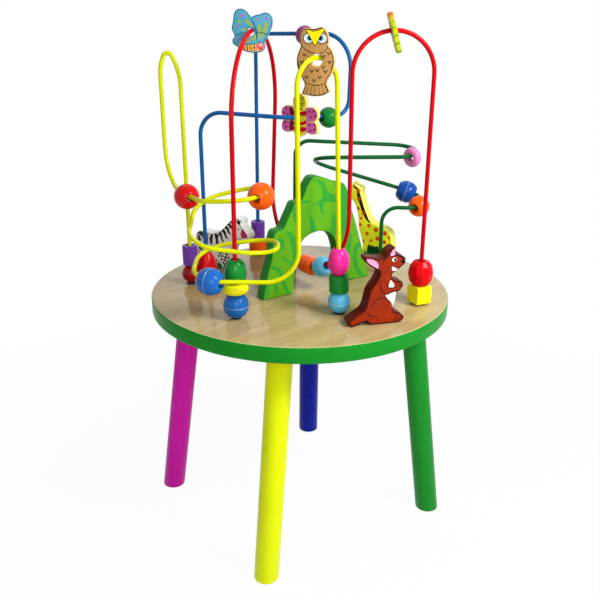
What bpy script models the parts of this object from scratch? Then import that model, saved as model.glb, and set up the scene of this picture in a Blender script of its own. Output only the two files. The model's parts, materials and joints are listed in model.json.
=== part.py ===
"""Activity table: a round wooden play table with four splayed legs.

Four bent steel wires stand on the top and carry sliding wooden beads and flat
wooden figures. Four thick flat figures are screwed to the top.
Metres, +Z up, the floor at z = 0, the origin on the floor under the middle of
the top. +X is to the right and +Y is away from someone who stands in front.
"""
import math

import bmesh
import bpy
from mathutils import Matrix, Vector

# Driving dimensions, in metres and degrees
MM = 0.001
FIT_GAP = 0.0003            # between pieces that touch or rest on each other

TABLE_HEIGHT = 0.292        # floor to the upper face of the top
TABLE_RADIUS = 0.175
TOP_THICKNESS = 0.018
TOP_EDGE_ROUND = 0.0015
TOP_STEPS = 64

LEG_RADIUS = 0.014
LEG_INSET = 0.041           # rim to leg axis, at the underside of the top
LEG_SPREAD = 0.0345         # how far a foot stands further out than its top
LEG_EDGE_ROUND = 0.0015
LEG_STEPS = 24

BOLT_RADIUS = 0.004
BOLT_IN_LEG = 0.034
BOLT_IN_TOP = 0.0055
BOLT_CHAMFER = 0.0008
BOLT_END_ROOM = 0.0006      # left at each end of a bolt's hole

WIRE_RADIUS = 0.0024
WIRE_IN_TOP = 0.0100        # how deep a wire's end goes into the top
WIRE_END_ROOM = 0.0006
BEND_ERROR = 0.00015        # how far a bend's flats may cut inside its round

GROMMET_RADIUS = 0.0070
WIDE_GROMMET_RADIUS = 0.0090
GROMMET_HEIGHT = 0.0015
LOW_GROMMET_RADIUS = 0.0055  # where a bead covers the grommet
LOW_GROMMET_HEIGHT = 0.0008
GROMMET_WALL = 0.0015
GROMMET_SLEEVE = 0.0080

BORE_PLAY = 0.0022          # a bead's bore radius over the wire's radius
WIDE_BORE_PLAY = 0.0028     # the same for beads that follow a bend
BEAD_GAP = 0.0005           # between stacked beads
SEAT_GAP = 0.0004           # from a wire to the side of the bore it carries
BEAD_EDGE = 0.0010
GROOVE_DEPTH = 0.0007
GROOVE_HALF = 0.0006
BEAD_STEPS = 16

PLATE_ROUND = 0.0008        # rounding along the edges of the flat figures
SLIDER_THICKNESS = 0.0052
SLIDER_HOLE_PLAY = 0.0005
FIGURE_THICKNESS = 0.016
MOUNTAIN_THICKNESS = 0.0145
SOFT_TURN = 75.0            # outline corners that turn less are cut once

SCREW_RADIUS = 0.00175
SCREW_HEAD_RADIUS = 0.0036
SCREW_HEAD_HEIGHT = 0.0022
SCREW_RECESS = 0.0035       # how far the head lies above the underside
SCREW_IN_FIGURE = 0.0130
SCREW_TIP = 0.0030

# The legs: name, angle of the top end and of the foot, extra spread, colour
LEGS = (
    ("front", -98.4, -102.4, -0.0040, (0.76, 0.88, 0.010)),
    ("right", -8.2, -9.2, 0.0010, (0.013, 0.254, 0.027)),
    ("back", 84.1, 85.0, -0.0010, (0.004, 0.016, 0.223)),
    ("left", 172.9, 173.2, 0.0020, (0.485, 0.017, 0.275)),
)

# Corners of the wires in millimetres: x, y, height over the top, bend radius
RED_CORNERS = (
    (-68, -99, 0, 0), (-68.5, -99, 290, 86), (-29, 74, 290, 86),
    (-37, 74, 27, 73), (53.5, -50, 27, 73), (51, -50, 291, 42),
    (136.3, -40, 291, 42), (134.9, -50.5, 0, 0),
)
YELLOW_CORNERS = (
    (-131.2, 11.4, 0, 0), (-133.6, 11.4, 246, 74), (-146.8, 11.4, 272.6, 5.0),
    (-155.2, 11.4, 250.5, 45), (-154.2, 11.4, 119, 45), (-103, -84, 123.5, 24),
    (-38, -92, 127, 34),
    (-38, -20, 129, 34), (-117, -18, 110, 33), (-117, -113, 84, 36),
    (-24, -113, 74.5, 36), (-24, -38, 72.5, 34), (-113, -32, 59, 34),
    (-113, -119, 48, 34), (-1, -119, 48, 34), (-5, -119, 267, 26.5),
    (34, -82, 267, 26.5), (43.2, -82, 0, 0),
)
BLUE_CORNERS = (
    (-115, 30.4, 0, 0), (-116.5, 30.4, 201.5, 27), (-14, -8, 199.5, 35),
    (54.5, 46, 197, 18), (56.5, 48, 286, 38), (-57.3, 131.2, 283, 22),
    (-57.3, 131.2, 0, 0),
)
GREEN_CORNERS = (
    (-7.5, 100, 0, 0), (-7.5, 100, 159, 18), (140.5, 100, 153.5, 25.5),
    (140.5, 48, 148.5, 24), (17, 52, 146, 25), (17, 105, 130, 25),
    (150, 98, 93, 23), (154, 46.5, 86, 22), (100, 54, 86, 20), (101, 56, 0, 0),
)

# Colours, as linear red, green and blue
BEECH = (0.66, 0.50, 0.31)
RED = (0.74, 0.006, 0.012)
DARK_RED = (0.45, 0.004, 0.010)
YELLOW = (0.84, 0.83, 0.006)
LEMON = (0.90, 0.85, 0.02)
BLUE = (0.030, 0.14, 0.42)
BEAD_BLUE = (0.035, 0.13, 0.55)
LIGHT_BLUE = (0.10, 0.42, 0.80)
GREEN = (0.010, 0.19, 0.045)
BEAD_GREEN = (0.010, 0.25, 0.055)
ORANGE = (0.90, 0.12, 0.010)
PURPLE = (0.17, 0.055, 0.45)
PINK = (0.86, 0.055, 0.33)
PALE_PINK = (0.80, 0.28, 0.55)
BROWN = (0.38, 0.055, 0.010)
TAN = (0.50, 0.27, 0.10)
LEAF = (0.12, 0.46, 0.03)
LIME = (0.60, 0.75, 0.03)
WHITE = (0.85, 0.85, 0.85)
BLACK = (0.012, 0.012, 0.014)
STEEL = (0.55, 0.55, 0.56)

# Outlines of the figures in millimetres: along the figure and up
MOUNTAIN_OUTLINE = (
    (-2.5, 0), (3.5, 28), (11, 51), (11, 70), (15, 79), (25, 79.5),
    (37, 101), (41, 108.5), (50, 108.5), (58, 126), (65, 134.5), (73, 135),
    (85, 131), (97, 125), (110, 123), (115.5, 115), (119, 100), (130, 73),
    (142, 38), (154, 0), (119, 0), (106, 25), (102.5, 46), (98, 58.5),
    (90, 66.5), (77, 70.5), (64, 69), (54, 64.5), (46, 54), (41.5, 35),
    (38.8, 0),
)
KANGAROO_OUTLINE = (
    (0, 6), (3, 0), (6, 0), (20, 5.5), (25, 0), (58, 0), (62.5, 3), (62.5, 7),
    (57, 11), (50.5, 12.5), (49.5, 16.5), (52, 24), (53, 34.5), (58, 37),
    (60, 42), (58.5, 46), (50, 47.5), (46.5, 51.5), (46.5, 55.5), (53, 59),
    (61, 66), (61.5, 71), (56, 75), (49.5, 76), (48.7, 84), (45, 82.3),
    (41, 79.2), (39.2, 76.5), (38, 73.8), (34, 72.4), (26, 73.6), (17, 75),
    (17, 71), (22, 65), (31, 60), (33.5, 57),
    (30.5, 49), (23, 39), (20.3, 27), (18, 17.5), (8, 11.5),
)
GIRAFFE_OUTLINE = (
    (2, 0), (1.5, 27), (-1, 36), (-4.5, 45), (-5.3, 57), (-7.5, 69), (-11, 77.5),
    (-15, 82.5), (-20, 85), (-24, 89), (-22.5, 94.5), (-16.5, 98.5), (-14.8, 105.5),
    (-11.5, 101.3), (-6.5, 99.5), (-3.2, 96.8), (-4.4, 92.6), (-1.6, 85), (3.5, 71),
    (10.5, 57), (20, 52.2), (31, 50), (38, 45.5), (41.5, 38), (42.3, 30), (42, 0),
)
ZEBRA_OUTLINE = (
    (-41, 0), (-41, 27), (-44, 36), (-42, 43), (-36, 47), (-26, 45.5),
    (-13, 46.5), (-4, 50), (6, 60), (14, 68), (22, 71), (29, 68.5),
    (27, 63), (34, 56), (38.5, 51.5), (38, 45.5), (32, 43), (23, 44),
    (17, 38), (13.5, 30), (10, 17), (9, 0),
)
BUTTERFLY_OUTLINE = (
    (-20, 10), (-19.5, 16), (-16.5, 20.5), (-12, 21.5), (-7, 19.5),
    (-1.5, 13), (3, 15.5), (8, 16), (12, 18), (17, 17), (20.5, 12), (20, 5),
    (16, -4), (11.5, -10.5), (13, -15), (10.5, -19.5), (3, -21.5),
    (-7, -20.5), (-15, -16.5), (-21, -12.5), (-21.5, -9), (-18.5, -5),
    (-22, 2), (-21, 6),
)
OWL_OUTLINE = (
    (-11.5, 25.5), (-3, 24.5), (5, 26.5), (8, 25), (11.5, 19.5), (12.3, 14),
    (11, 10.5), (16, 5), (18.4, -3), (16.5, -13.5), (10, -23), (14, -31.5),
    (8, -35.5), (-3, -36.6), (-13.5, -34), (-10, -25.5), (-14, -19),
    (-18.5, -9), (-18.6, 0), (-14.5, 9.5), (-16.5, 15), (-15.5, 22),
)
BEE_OUTLINE = (
    (-5, 10), (-8.5, 14), (-9, 20), (-5.5, 25.5), (0, 27), (5.5, 25.5),
    (9, 20), (8.5, 14), (5, 10), (11, 13), (19, 13.5), (24.5, 9),
    (25, 3), (21, -2), (24.5, -7), (24, -14), (18, -16.5), (8, -14.5),
    (5, -18.5), (0, -20.5), (-5, -18.5), (-8, -14.5), (-18, -16.5),
    (-24, -14), (-24.5, -7), (-21, -2), (-25, 3), (-24.5, 9), (-19, 13.5),
    (-11, 13),
)
# The segments of the grub: half width and height of the middle
GRUB_SEGMENTS = ((7.5, 16), (10.5, 8.5), (12, 1), (11, -6.5), (8.5, -14))

# Standing figures: a point of the front face at the base, in millimetres in
# plan, and the direction the outline's first number runs along
MOUNTAIN_AT = ((-39.8, -45.7), (0.8165, 0.5773))
KANGAROO_AT = ((50.5, -123.8), (0.9594, 0.2822))
GIRAFFE_AT = ((80.0, 99.0), (0.8884, -0.4591))
ZEBRA_AT = ((-97.4, 62.0), (0.8601, -0.5101))


def clear_scene():
    """Remove what an open file holds, so that a second run starts clean."""
    for obj in list(bpy.data.objects):
        bpy.data.objects.remove(obj, do_unlink=True)
    for col in list(bpy.data.collections):
        bpy.data.collections.remove(col)


def new_collection(name):
    col = bpy.data.collections.new(name)
    bpy.context.scene.collection.children.link(col)
    return col


clear_scene()
PARTS = new_collection("activity_table")
CUTTERS = new_collection("cutters")


def paint(obj, color, roughness=0.3, metallic=0.0):
    """Give an object its own Principled material."""
    mat = bpy.data.materials.new(obj.name + "_finish")
    mat.use_nodes = True
    shader = mat.node_tree.nodes["Principled BSDF"]
    shader.inputs["Base Color"].default_value = (*color, 1.0)
    shader.inputs["Roughness"].default_value = roughness
    shader.inputs["Metallic"].default_value = metallic
    mat.diffuse_color = (*color, 1.0)
    obj.data.materials.clear()
    obj.data.materials.append(mat)
    return obj


def add_part(name, data, matrix=None):
    obj = bpy.data.objects.new(name, data)
    PARTS.objects.link(obj)
    if matrix is not None:
        obj.matrix_world = matrix
    return obj


def add_cutter(name, bm):
    mesh = bpy.data.meshes.new(name)
    bm.to_mesh(mesh)
    bm.free()
    obj = bpy.data.objects.new(name, mesh)
    CUTTERS.objects.link(obj)
    obj.hide_render = True
    obj.display_type = "WIRE"
    return obj


def cut(obj, cutter):
    mod = obj.modifiers.new("cut_" + cutter.name, "BOOLEAN")
    mod.operation = "DIFFERENCE"
    mod.solver = "EXACT"
    mod.object = cutter


def frame_along(axis, at, twist=0.0):
    """A matrix at a point whose Z runs along axis and whose X is level."""
    z = Vector(axis).normalized()
    side = Vector((0.0, 0.0, 1.0)).cross(z)
    if side.length < 0.05:
        side = Vector((1.0, 0.0, 0.0)) - z * z.x
    x = side.normalized()
    y = z.cross(x)
    rot = Matrix((x, y, z)).transposed().to_4x4()
    return Matrix.Translation(at) @ rot @ Matrix.Rotation(twist, 4, "Z")


def add_rod(bm, start, end, radius, steps=16):
    """Add a closed cylinder from start to end to a bmesh."""
    start = Vector(start)
    end = Vector(end)
    middle = frame_along(end - start, (start + end) / 2)
    bmesh.ops.create_cone(bm, cap_ends=True, segments=steps, radius1=radius,
                          radius2=radius, depth=(end - start).length,
                          matrix=middle)


def turned(name, profile, matrix, steps, smooth=True):
    """A turned piece: the profile runs down its outer side, then closes."""
    mesh = bpy.data.meshes.new(name)
    bm = bmesh.new()
    verts = [bm.verts.new((r, 0.0, z)) for r, z in profile]
    for a, b in zip(verts, verts[1:]):
        bm.edges.new((a, b))
    if profile[0][0] > 0.0:
        bm.edges.new((verts[-1], verts[0]))
    bm.to_mesh(mesh)
    bm.free()
    obj = add_part(name, mesh, matrix)
    mod = obj.modifiers.new("turn", "SCREW")
    mod.steps = steps
    mod.render_steps = steps
    mod.use_merge_vertices = True
    mod.merge_threshold = 0.00001
    mod.use_smooth_shade = smooth
    return obj


# Wires: straight runs joined by round bends

def point_on_top(x, y, z):
    return Vector((x * MM, y * MM, z * MM + TABLE_HEIGHT))


class Bend:
    """One round bend of a wire, at a corner of its route."""

    def __init__(self, before, corner, after, radius):
        back = (before - corner).normalized()
        ahead = (after - corner).normalized()
        half = back.angle(ahead) / 2
        self.reach = radius / math.tan(half)
        self.sweep = math.pi - 2 * half
        self.center = corner + (back + ahead).normalized() * (radius / math.sin(half))
        self.start = corner + back * self.reach
        self.radius = radius
        self.arm = (self.start - self.center).normalized()
        self.axis = self.arm.cross(-back).normalized()

    def point(self, share):
        turn = Matrix.Rotation(self.sweep * share, 3, self.axis)
        return self.center + turn @ self.arm * self.radius

    def tangent(self, share):
        turn = Matrix.Rotation(self.sweep * share, 3, self.axis)
        return (self.axis.cross(turn @ self.arm)).normalized()


class Route:
    """The middle line of a wire, from its first foot to its last."""

    def __init__(self, corners):
        self.corners = [point_on_top(*c[:3]) for c in corners]
        bends = []
        for i in range(1, len(corners) - 1):
            bends.append(Bend(self.corners[i - 1], self.corners[i],
                              self.corners[i + 1], corners[i][3] * MM))
        self.bends = bends

    def foot(self, last):
        """The foot's point on the top and the direction up its wire."""
        if last:
            at, upper = self.corners[-1], self.corners[-2]
        else:
            at, upper = self.corners[0], self.corners[1]
        return at, (upper - at).normalized()

    def points(self):
        first, up_first = self.foot(False)
        last, up_last = self.foot(True)
        pts = [first - up_first * (WIRE_IN_TOP / up_first.z)]
        for bend in self.bends:
            step = 2 * math.acos(1 - BEND_ERROR / bend.radius)
            count = max(3, math.ceil(bend.sweep / step))
            pts += [bend.point(k / count) for k in range(count + 1)]
        pts.append(last - up_last * (WIRE_IN_TOP / up_last.z))
        return pts


ROUTES = {
    "red": Route(RED_CORNERS),
    "yellow": Route(YELLOW_CORNERS),
    "blue": Route(BLUE_CORNERS),
    "green": Route(GREEN_CORNERS),
}


def make_wire(name, route, color):
    curve = bpy.data.curves.new(name, "CURVE")
    curve.dimensions = "3D"
    curve.bevel_depth = WIRE_RADIUS
    curve.bevel_resolution = 2
    curve.use_fill_caps = True
    pts = route.points()
    spline = curve.splines.new("POLY")
    spline.points.add(len(pts) - 1)
    for target, pt in zip(spline.points, pts):
        target.co = (*pt, 1.0)
    return paint(add_part(name, curve), color, 0.22)


# Top, legs and their bolts

UNDERSIDE = TABLE_HEIGHT - TOP_THICKNESS


def leg_line(leg):
    """The two ends of a leg's axis: under the top, and on the floor."""
    name, top_angle, foot_angle, extra, color = leg
    top_radius = TABLE_RADIUS - LEG_INSET
    foot_radius = top_radius + LEG_SPREAD + extra
    top = Vector((top_radius * math.cos(math.radians(top_angle)),
                  top_radius * math.sin(math.radians(top_angle)), UNDERSIDE))
    foot = Vector((foot_radius * math.cos(math.radians(foot_angle)),
                   foot_radius * math.sin(math.radians(foot_angle)), 0.0))
    return top, foot


def make_leg(leg):
    """A round leg, cut level at the floor and under the top."""
    name = "leg_" + leg[0]
    top, foot = leg_line(leg)
    up = (top - foot).normalized()
    spare = LEG_RADIUS
    bm = bmesh.new()
    add_rod(bm, foot - up * spare, top + up * spare, LEG_RADIUS, LEG_STEPS)
    for height, way in ((0.0, -1.0), (UNDERSIDE - FIT_GAP, 1.0)):
        whole = bm.verts[:] + bm.edges[:] + bm.faces[:]
        found = bmesh.ops.bisect_plane(bm, geom=whole, clear_outer=True,
                                       plane_co=(0, 0, height), plane_no=(0, 0, way))
        rim = [e for e in found["geom_cut"] if isinstance(e, bmesh.types.BMEdge)]
        bmesh.ops.contextual_create(bm, geom=rim)
    bmesh.ops.recalc_face_normals(bm, faces=bm.faces[:])
    bm.transform(Matrix.Translation(-top))
    mesh = bpy.data.meshes.new(name)
    bm.to_mesh(mesh)
    bm.free()
    mesh.shade_smooth()
    mesh.set_sharp_from_angle(angle=math.radians(40))
    obj = add_part(name, mesh, Matrix.Translation(top))
    edge = obj.modifiers.new("rounded_ends", "BEVEL")
    edge.width = LEG_EDGE_ROUND
    edge.segments = 2
    edge.limit_method = "ANGLE"
    edge.angle_limit = math.radians(60)
    hole = bmesh.new()
    room = BOLT_IN_LEG + BOLT_END_ROOM
    add_rod(hole, top - up * room, top + up * BOLT_IN_TOP, BOLT_RADIUS + FIT_GAP)
    cut(obj, add_cutter("hole_in_" + name, hole))
    return paint(obj, leg[4], 0.25)


def make_bolt(leg):
    """The stud that joins a leg to the top, along the leg's axis."""
    top, foot = leg_line(leg)
    up = (top - foot).normalized()
    profile = [
        (0.0, BOLT_IN_TOP), (BOLT_RADIUS - BOLT_CHAMFER, BOLT_IN_TOP),
        (BOLT_RADIUS, BOLT_IN_TOP - BOLT_CHAMFER),
        (BOLT_RADIUS, BOLT_CHAMFER - BOLT_IN_LEG),
        (BOLT_RADIUS - BOLT_CHAMFER, -BOLT_IN_LEG), (0.0, -BOLT_IN_LEG),
    ]
    obj = turned("hanger_bolt_" + leg[0], profile, frame_along(up, top), 12)
    return paint(obj, STEEL, 0.35, 0.9)


FOOT_NAMES = {
    "red": ("red_front", "red_right"),
    "yellow": ("yellow_left", "yellow_middle"),
    "blue": ("blue_left", "blue_back"),
    "green": ("green_back", "green_right"),
}


def grommet_size(label):
    """The radius and height of the grommet at a wire's foot."""
    if label in ("red_front", "red_right"):
        return LOW_GROMMET_RADIUS, LOW_GROMMET_HEIGHT
    radius = WIDE_GROMMET_RADIUS if label == "blue_back" else GROMMET_RADIUS
    return radius, GROMMET_HEIGHT


def grommet_top(up, radius, height):
    """How far a grommet's top lies along its wire from the table's face."""
    return FIT_GAP / up.z + radius * math.sqrt(1 - up.z ** 2) + height


def wire_feet():
    """Each wire foot: grommet name, point on the top, direction, sizes."""
    feet = []
    for color, pair in FOOT_NAMES.items():
        for last, label in enumerate(pair):
            at, up = ROUTES[color].foot(bool(last))
            feet.append(("grommet_" + label, at, up, *grommet_size(label)))
    return feet


SLEEVE_RADIUS = WIRE_RADIUS + FIT_GAP + GROMMET_WALL


def make_grommet(name, at, up, radius, height):
    """A plastic ring round a wire's foot, with a sleeve down its hole."""
    inner = WIRE_RADIUS + FIT_GAP
    crown = grommet_top(up, radius, height)
    low = crown - height
    profile = [
        (radius * 0.72, crown), (radius, crown - height * 0.4),
        (radius, low), (SLEEVE_RADIUS, low), (SLEEVE_RADIUS, -GROMMET_SLEEVE),
        (inner, -GROMMET_SLEEVE), (inner, crown),
    ]
    obj = turned(name, profile, frame_along(up, at), 14)
    return paint(obj, BLACK, 0.4)


def figure_screws():
    """Each screw: name, place in plan."""
    spots = []
    for name, place, along in (
            ("mountain_left", MOUNTAIN_AT, 20.0),
            ("mountain_right", MOUNTAIN_AT, 134.0),
            ("kangaroo", KANGAROO_AT, 42.0),
            ("giraffe", GIRAFFE_AT, 22.0),
            ("zebra", ZEBRA_AT, -16.0)):
        (px, py), (dx, dy) = place
        thick = MOUNTAIN_THICKNESS if place is MOUNTAIN_AT else FIGURE_THICKNESS
        back = thick / 2
        spots.append(("screw_" + name, Vector((
            (px + dx * along) * MM - dy * back,
            (py + dy * along) * MM + dx * back, 0.0))))
    return spots


def make_screw(name, spot):
    head = UNDERSIDE + SCREW_RECESS
    tip = TABLE_HEIGHT + SCREW_IN_FIGURE - head
    profile = [
        (0.0, tip), (SCREW_RADIUS, tip - SCREW_TIP),
        (SCREW_RADIUS, SCREW_HEAD_HEIGHT), (SCREW_HEAD_RADIUS, 0.0004),
        (SCREW_HEAD_RADIUS, 0.0), (0.0, 0.0),
    ]
    at = Vector((spot.x, spot.y, head))
    obj = turned(name, profile, Matrix.Translation(at), 12)
    return paint(obj, STEEL, 0.3, 0.9)


def add_screw_hole(bm, spot):
    """The cut that clears a screw, its head and its tip."""
    head = UNDERSIDE + SCREW_RECESS
    low = Vector((spot.x, spot.y, UNDERSIDE - TOP_THICKNESS))
    seat = Vector((spot.x, spot.y, head + SCREW_HEAD_HEIGHT + FIT_GAP))
    tip = Vector((spot.x, spot.y, TABLE_HEIGHT + SCREW_IN_FIGURE + FIT_GAP))
    return low, seat, tip


def make_top():
    """The round top, with its holes for wires, bolts and screws."""
    r = TABLE_RADIUS
    e = TOP_EDGE_ROUND
    h = TOP_THICKNESS
    profile = [
        (0.0, 0.0), (r - e, 0.0), (r - e * 0.3, -e * 0.3), (r, -e),
        (r, e - h), (r - e * 0.3, e * 0.3 - h), (r - e, -h), (0.0, -h),
    ]
    place = Matrix.Translation((0, 0, TABLE_HEIGHT))
    obj = turned("tabletop", profile, place, TOP_STEPS)
    above = TOP_THICKNESS
    upper = bmesh.new()
    for name, at, up, radius, height in wire_feet():
        deep = (WIRE_IN_TOP + WIRE_END_ROOM) / up.z
        add_rod(upper, at - up * deep, at + up * above, SLEEVE_RADIUS + FIT_GAP, 14)
    cut(obj, add_cutter("wire_holes", upper))
    lower = bmesh.new()
    for leg in LEGS:
        top, foot = leg_line(leg)
        up = (top - foot).normalized()
        add_rod(lower, top - up * above, top + up * (BOLT_IN_TOP + BOLT_END_ROOM),
                BOLT_RADIUS + FIT_GAP, 12)
    cut(obj, add_cutter("bolt_holes", lower))
    shafts = bmesh.new()
    heads = bmesh.new()
    for name, spot in figure_screws():
        low, seat, tip = add_screw_hole(shafts, spot)
        add_rod(shafts, low, tip, SCREW_RADIUS + FIT_GAP, 12)
        add_rod(heads, low, seat, SCREW_HEAD_RADIUS + FIT_GAP, 12)
    cut(obj, add_cutter("screw_head_holes", heads))
    cut(obj, add_cutter("screw_shaft_holes", shafts))
    return paint(obj, BEECH, 0.3)


# Flat figures

def soften(outline):
    """Cut each blunt corner of an outline into two, to make it rounder."""
    pts = [Vector(p) for p in outline]
    soft = []
    for i, at in enumerate(pts):
        back = pts[i - 1] - at
        ahead = pts[(i + 1) % len(pts)] - at
        turn = 180 - math.degrees(back.angle(ahead))
        if 14 < turn < SOFT_TURN:
            cut_off = min(back.length, ahead.length) * 0.27
            soft.append(at + back.normalized() * cut_off)
            soft.append(at + ahead.normalized() * cut_off)
        else:
            soft.append(at)
    return soft


def grub_outline():
    """A row of round segments, down one side and back up the other."""
    right = []
    for half, mid in GRUB_SEGMENTS:
        right += [(half - 2.2, mid + 4.2), (half, mid + 2.2), (half, mid - 2.2)]
    half, mid = GRUB_SEGMENTS[-1]
    right.append((half - 3.0, mid - 5.0))
    right[0] = (half - 4.0, GRUB_SEGMENTS[0][1] + 5.0)
    return right + [(-x, y) for x, y in reversed(right)]


def plate_mesh(name, outline, thickness, hole=None):
    """A flat outline with rounded edges, in X and Y, as a closed mesh."""
    curve = bpy.data.curves.new(name + "_outline", "CURVE")
    curve.dimensions = "2D"
    curve.fill_mode = "BOTH"
    curve.extrude = thickness / 2 - PLATE_ROUND
    curve.bevel_depth = PLATE_ROUND
    curve.offset = -PLATE_ROUND
    curve.bevel_resolution = 0
    loops = [[(x * MM, y * MM) for x, y in soften(outline)]]
    if hole is not None:
        (hx, hy), radius = hole
        around = [2 * math.pi * k / BEAD_STEPS for k in range(BEAD_STEPS)]
        loops.append([(hx + radius * math.cos(a), hy + radius * math.sin(a))
                      for a in around])
    for loop in loops:
        spline = curve.splines.new("POLY")
        spline.points.add(len(loop) - 1)
        spline.use_cyclic_u = True
        for target, (x, y) in zip(spline.points, loop):
            target.co = (x, y, 0.0, 1.0)
    holder = bpy.data.objects.new(name + "_outline", curve)
    bpy.context.scene.collection.objects.link(holder)
    bpy.context.view_layer.update()
    graph = bpy.context.evaluated_depsgraph_get()
    mesh = bpy.data.meshes.new_from_object(holder.evaluated_get(graph))
    bpy.data.objects.remove(holder, do_unlink=True)
    mesh.name = name
    bm = bmesh.new()
    bm.from_mesh(mesh)
    bmesh.ops.remove_doubles(bm, verts=bm.verts[:], dist=0.00001)
    bmesh.ops.recalc_face_normals(bm, faces=bm.faces[:])
    bm.to_mesh(mesh)
    bm.free()
    return mesh


def upright(direction, at):
    """A matrix that stands an outline up: X along direction, Y up."""
    x = Vector((direction[0], direction[1], 0.0)).normalized()
    y = Vector((0.0, 0.0, 1.0))
    rot = Matrix((x, y, x.cross(y))).transposed().to_4x4()
    return Matrix.Translation(at) @ rot


def make_standing(name, outline, place, thickness, color):
    """A thick figure that stands on the top, held by screws from below."""
    (px, py), (dx, dy) = place
    back = thickness / 2
    at = Vector((px * MM - dy * back, py * MM + dx * back, TABLE_HEIGHT + FIT_GAP))
    mesh = plate_mesh(name, outline, thickness)
    obj = add_part(name, mesh, upright((dx, dy), at))
    for screw, spot in figure_screws():
        if screw.startswith("screw_" + name):
            hole = bmesh.new()
            low, seat, tip = add_screw_hole(hole, spot)
            add_rod(hole, low, tip, SCREW_RADIUS + FIT_GAP, 12)
            cut(obj, add_cutter("hole_for_" + screw, hole))
    return paint(obj, color, 0.3)


# Beads

BORE = WIRE_RADIUS + BORE_PLAY
WIDE_BORE = WIRE_RADIUS + WIDE_BORE_PLAY
GROOVED_FULLNESS = 0.78     # below 1, a grooved ball is fuller than a sphere


def close_bore(outer, height, bore):
    return outer + [(bore, -height / 2), (bore, height / 2)]


def ball_profile(bore, diameter, height, grooved=False):
    """A ball with flats at its bore, and a groove round its middle."""
    r = diameter / 2
    flat = math.asin(height / diameter)
    angles = [flat * (1 - k / 4) for k in range(4)]
    full = GROOVED_FULLNESS if grooved else 1.0
    least = bore + BEAD_EDGE / 3
    upper = [(max(least, r * math.cos(a) ** full), r * math.sin(a)) for a in angles]
    if grooved:
        middle = [(r, GROOVE_HALF), (r - GROOVE_DEPTH, 0.0), (r, -GROOVE_HALF)]
    else:
        middle = [(r, 0.0)]
    lower = [(x, -z) for x, z in reversed(upper)]
    return close_bore(upper + middle + lower, height, bore)


def disk_profile(bore, diameter, height):
    r = diameter / 2
    h = height / 2
    inner = r - height * 0.45
    outer = [(inner, h), (r - h * 0.35, h * 0.75), (r, h * 0.25), (r, -h * 0.25),
             (r - h * 0.35, -h * 0.75), (inner, -h)]
    return close_bore(outer, height, bore)


def egg_profile(bore, diameter, height, lean, point):
    """An egg: its widest level lies below the middle by a share, lean.

    The nearer point is to 1, the narrower the egg's ends.
    """
    r = diameter / 2
    h = height / 2
    outer = []
    for k in range(8):
        u = 1 - 2 * (k + 0.0) / 7
        t = max(-1.0, min(1.0, u + lean * (1 - u * u)))
        outer.append((max(bore + BEAD_EDGE, r * math.sqrt(1 - (point * t) ** 2)), u * h))
    return close_bore(outer, height, bore)


def cylinder_profile(bore, diameter, height):
    r = diameter / 2
    h = height / 2
    e = BEAD_EDGE
    outer = [(r - e, h), (r - e * 0.3, h - e * 0.3), (r, h - e), (r, e - h),
             (r - e * 0.3, e * 0.3 - h), (r - e, -h)]
    return close_bore(outer, height, bore)


def barrel_profile(bore, diameter, height):
    """A barrel of flat facets, turned in few steps."""
    r = diameter / 2
    h = height / 2
    outer = [(r * 0.60, h), (r * 0.88, h * 0.62), (r, 0.0), (r * 0.88, -h * 0.62),
             (r * 0.60, -h)]
    return close_bore(outer, height, bore)


def make_bead(name, shape, matrix, color, bore=BORE):
    kind = shape[0]
    if kind == "cube":
        obj = cube_bead(name, shape[1], matrix)
    else:
        steps = BEAD_STEPS
        if kind == "ball":
            profile = ball_profile(bore, *shape[1:])
        elif kind == "grooved":
            profile = ball_profile(bore, *shape[1:], True)
        elif kind == "disk":
            profile = disk_profile(bore, *shape[1:])
        elif kind == "egg":
            profile = egg_profile(bore, *shape[1:])
        elif kind == "cylinder":
            profile = cylinder_profile(bore, *shape[1:])
        else:
            profile = barrel_profile(bore, *shape[1:])
            steps = BARREL_SIDES
        obj = turned(name, profile, matrix, steps, kind != "barrel")
    return paint(obj, color, 0.16)


BARREL_SIDES = 12


def cube_bead(name, side, matrix):
    mesh = bpy.data.meshes.new(name)
    bm = bmesh.new()
    bmesh.ops.create_cube(bm, size=side)
    bm.to_mesh(mesh)
    bm.free()
    obj = add_part(name, mesh, matrix)
    edge = obj.modifiers.new("rounded_edges", "BEVEL")
    edge.width = BEAD_EDGE
    edge.segments = 2
    bore = bmesh.new()
    add_rod(bore, (0, 0, -side), (0, 0, side), BORE, BEAD_STEPS)
    cutter = add_cutter("bore_of_" + name, bore)
    cutter.matrix_world = matrix
    cut(obj, cutter)
    return obj


def bead_height(shape):
    return shape[1] if shape[0] == "cube" else shape[2]


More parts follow.
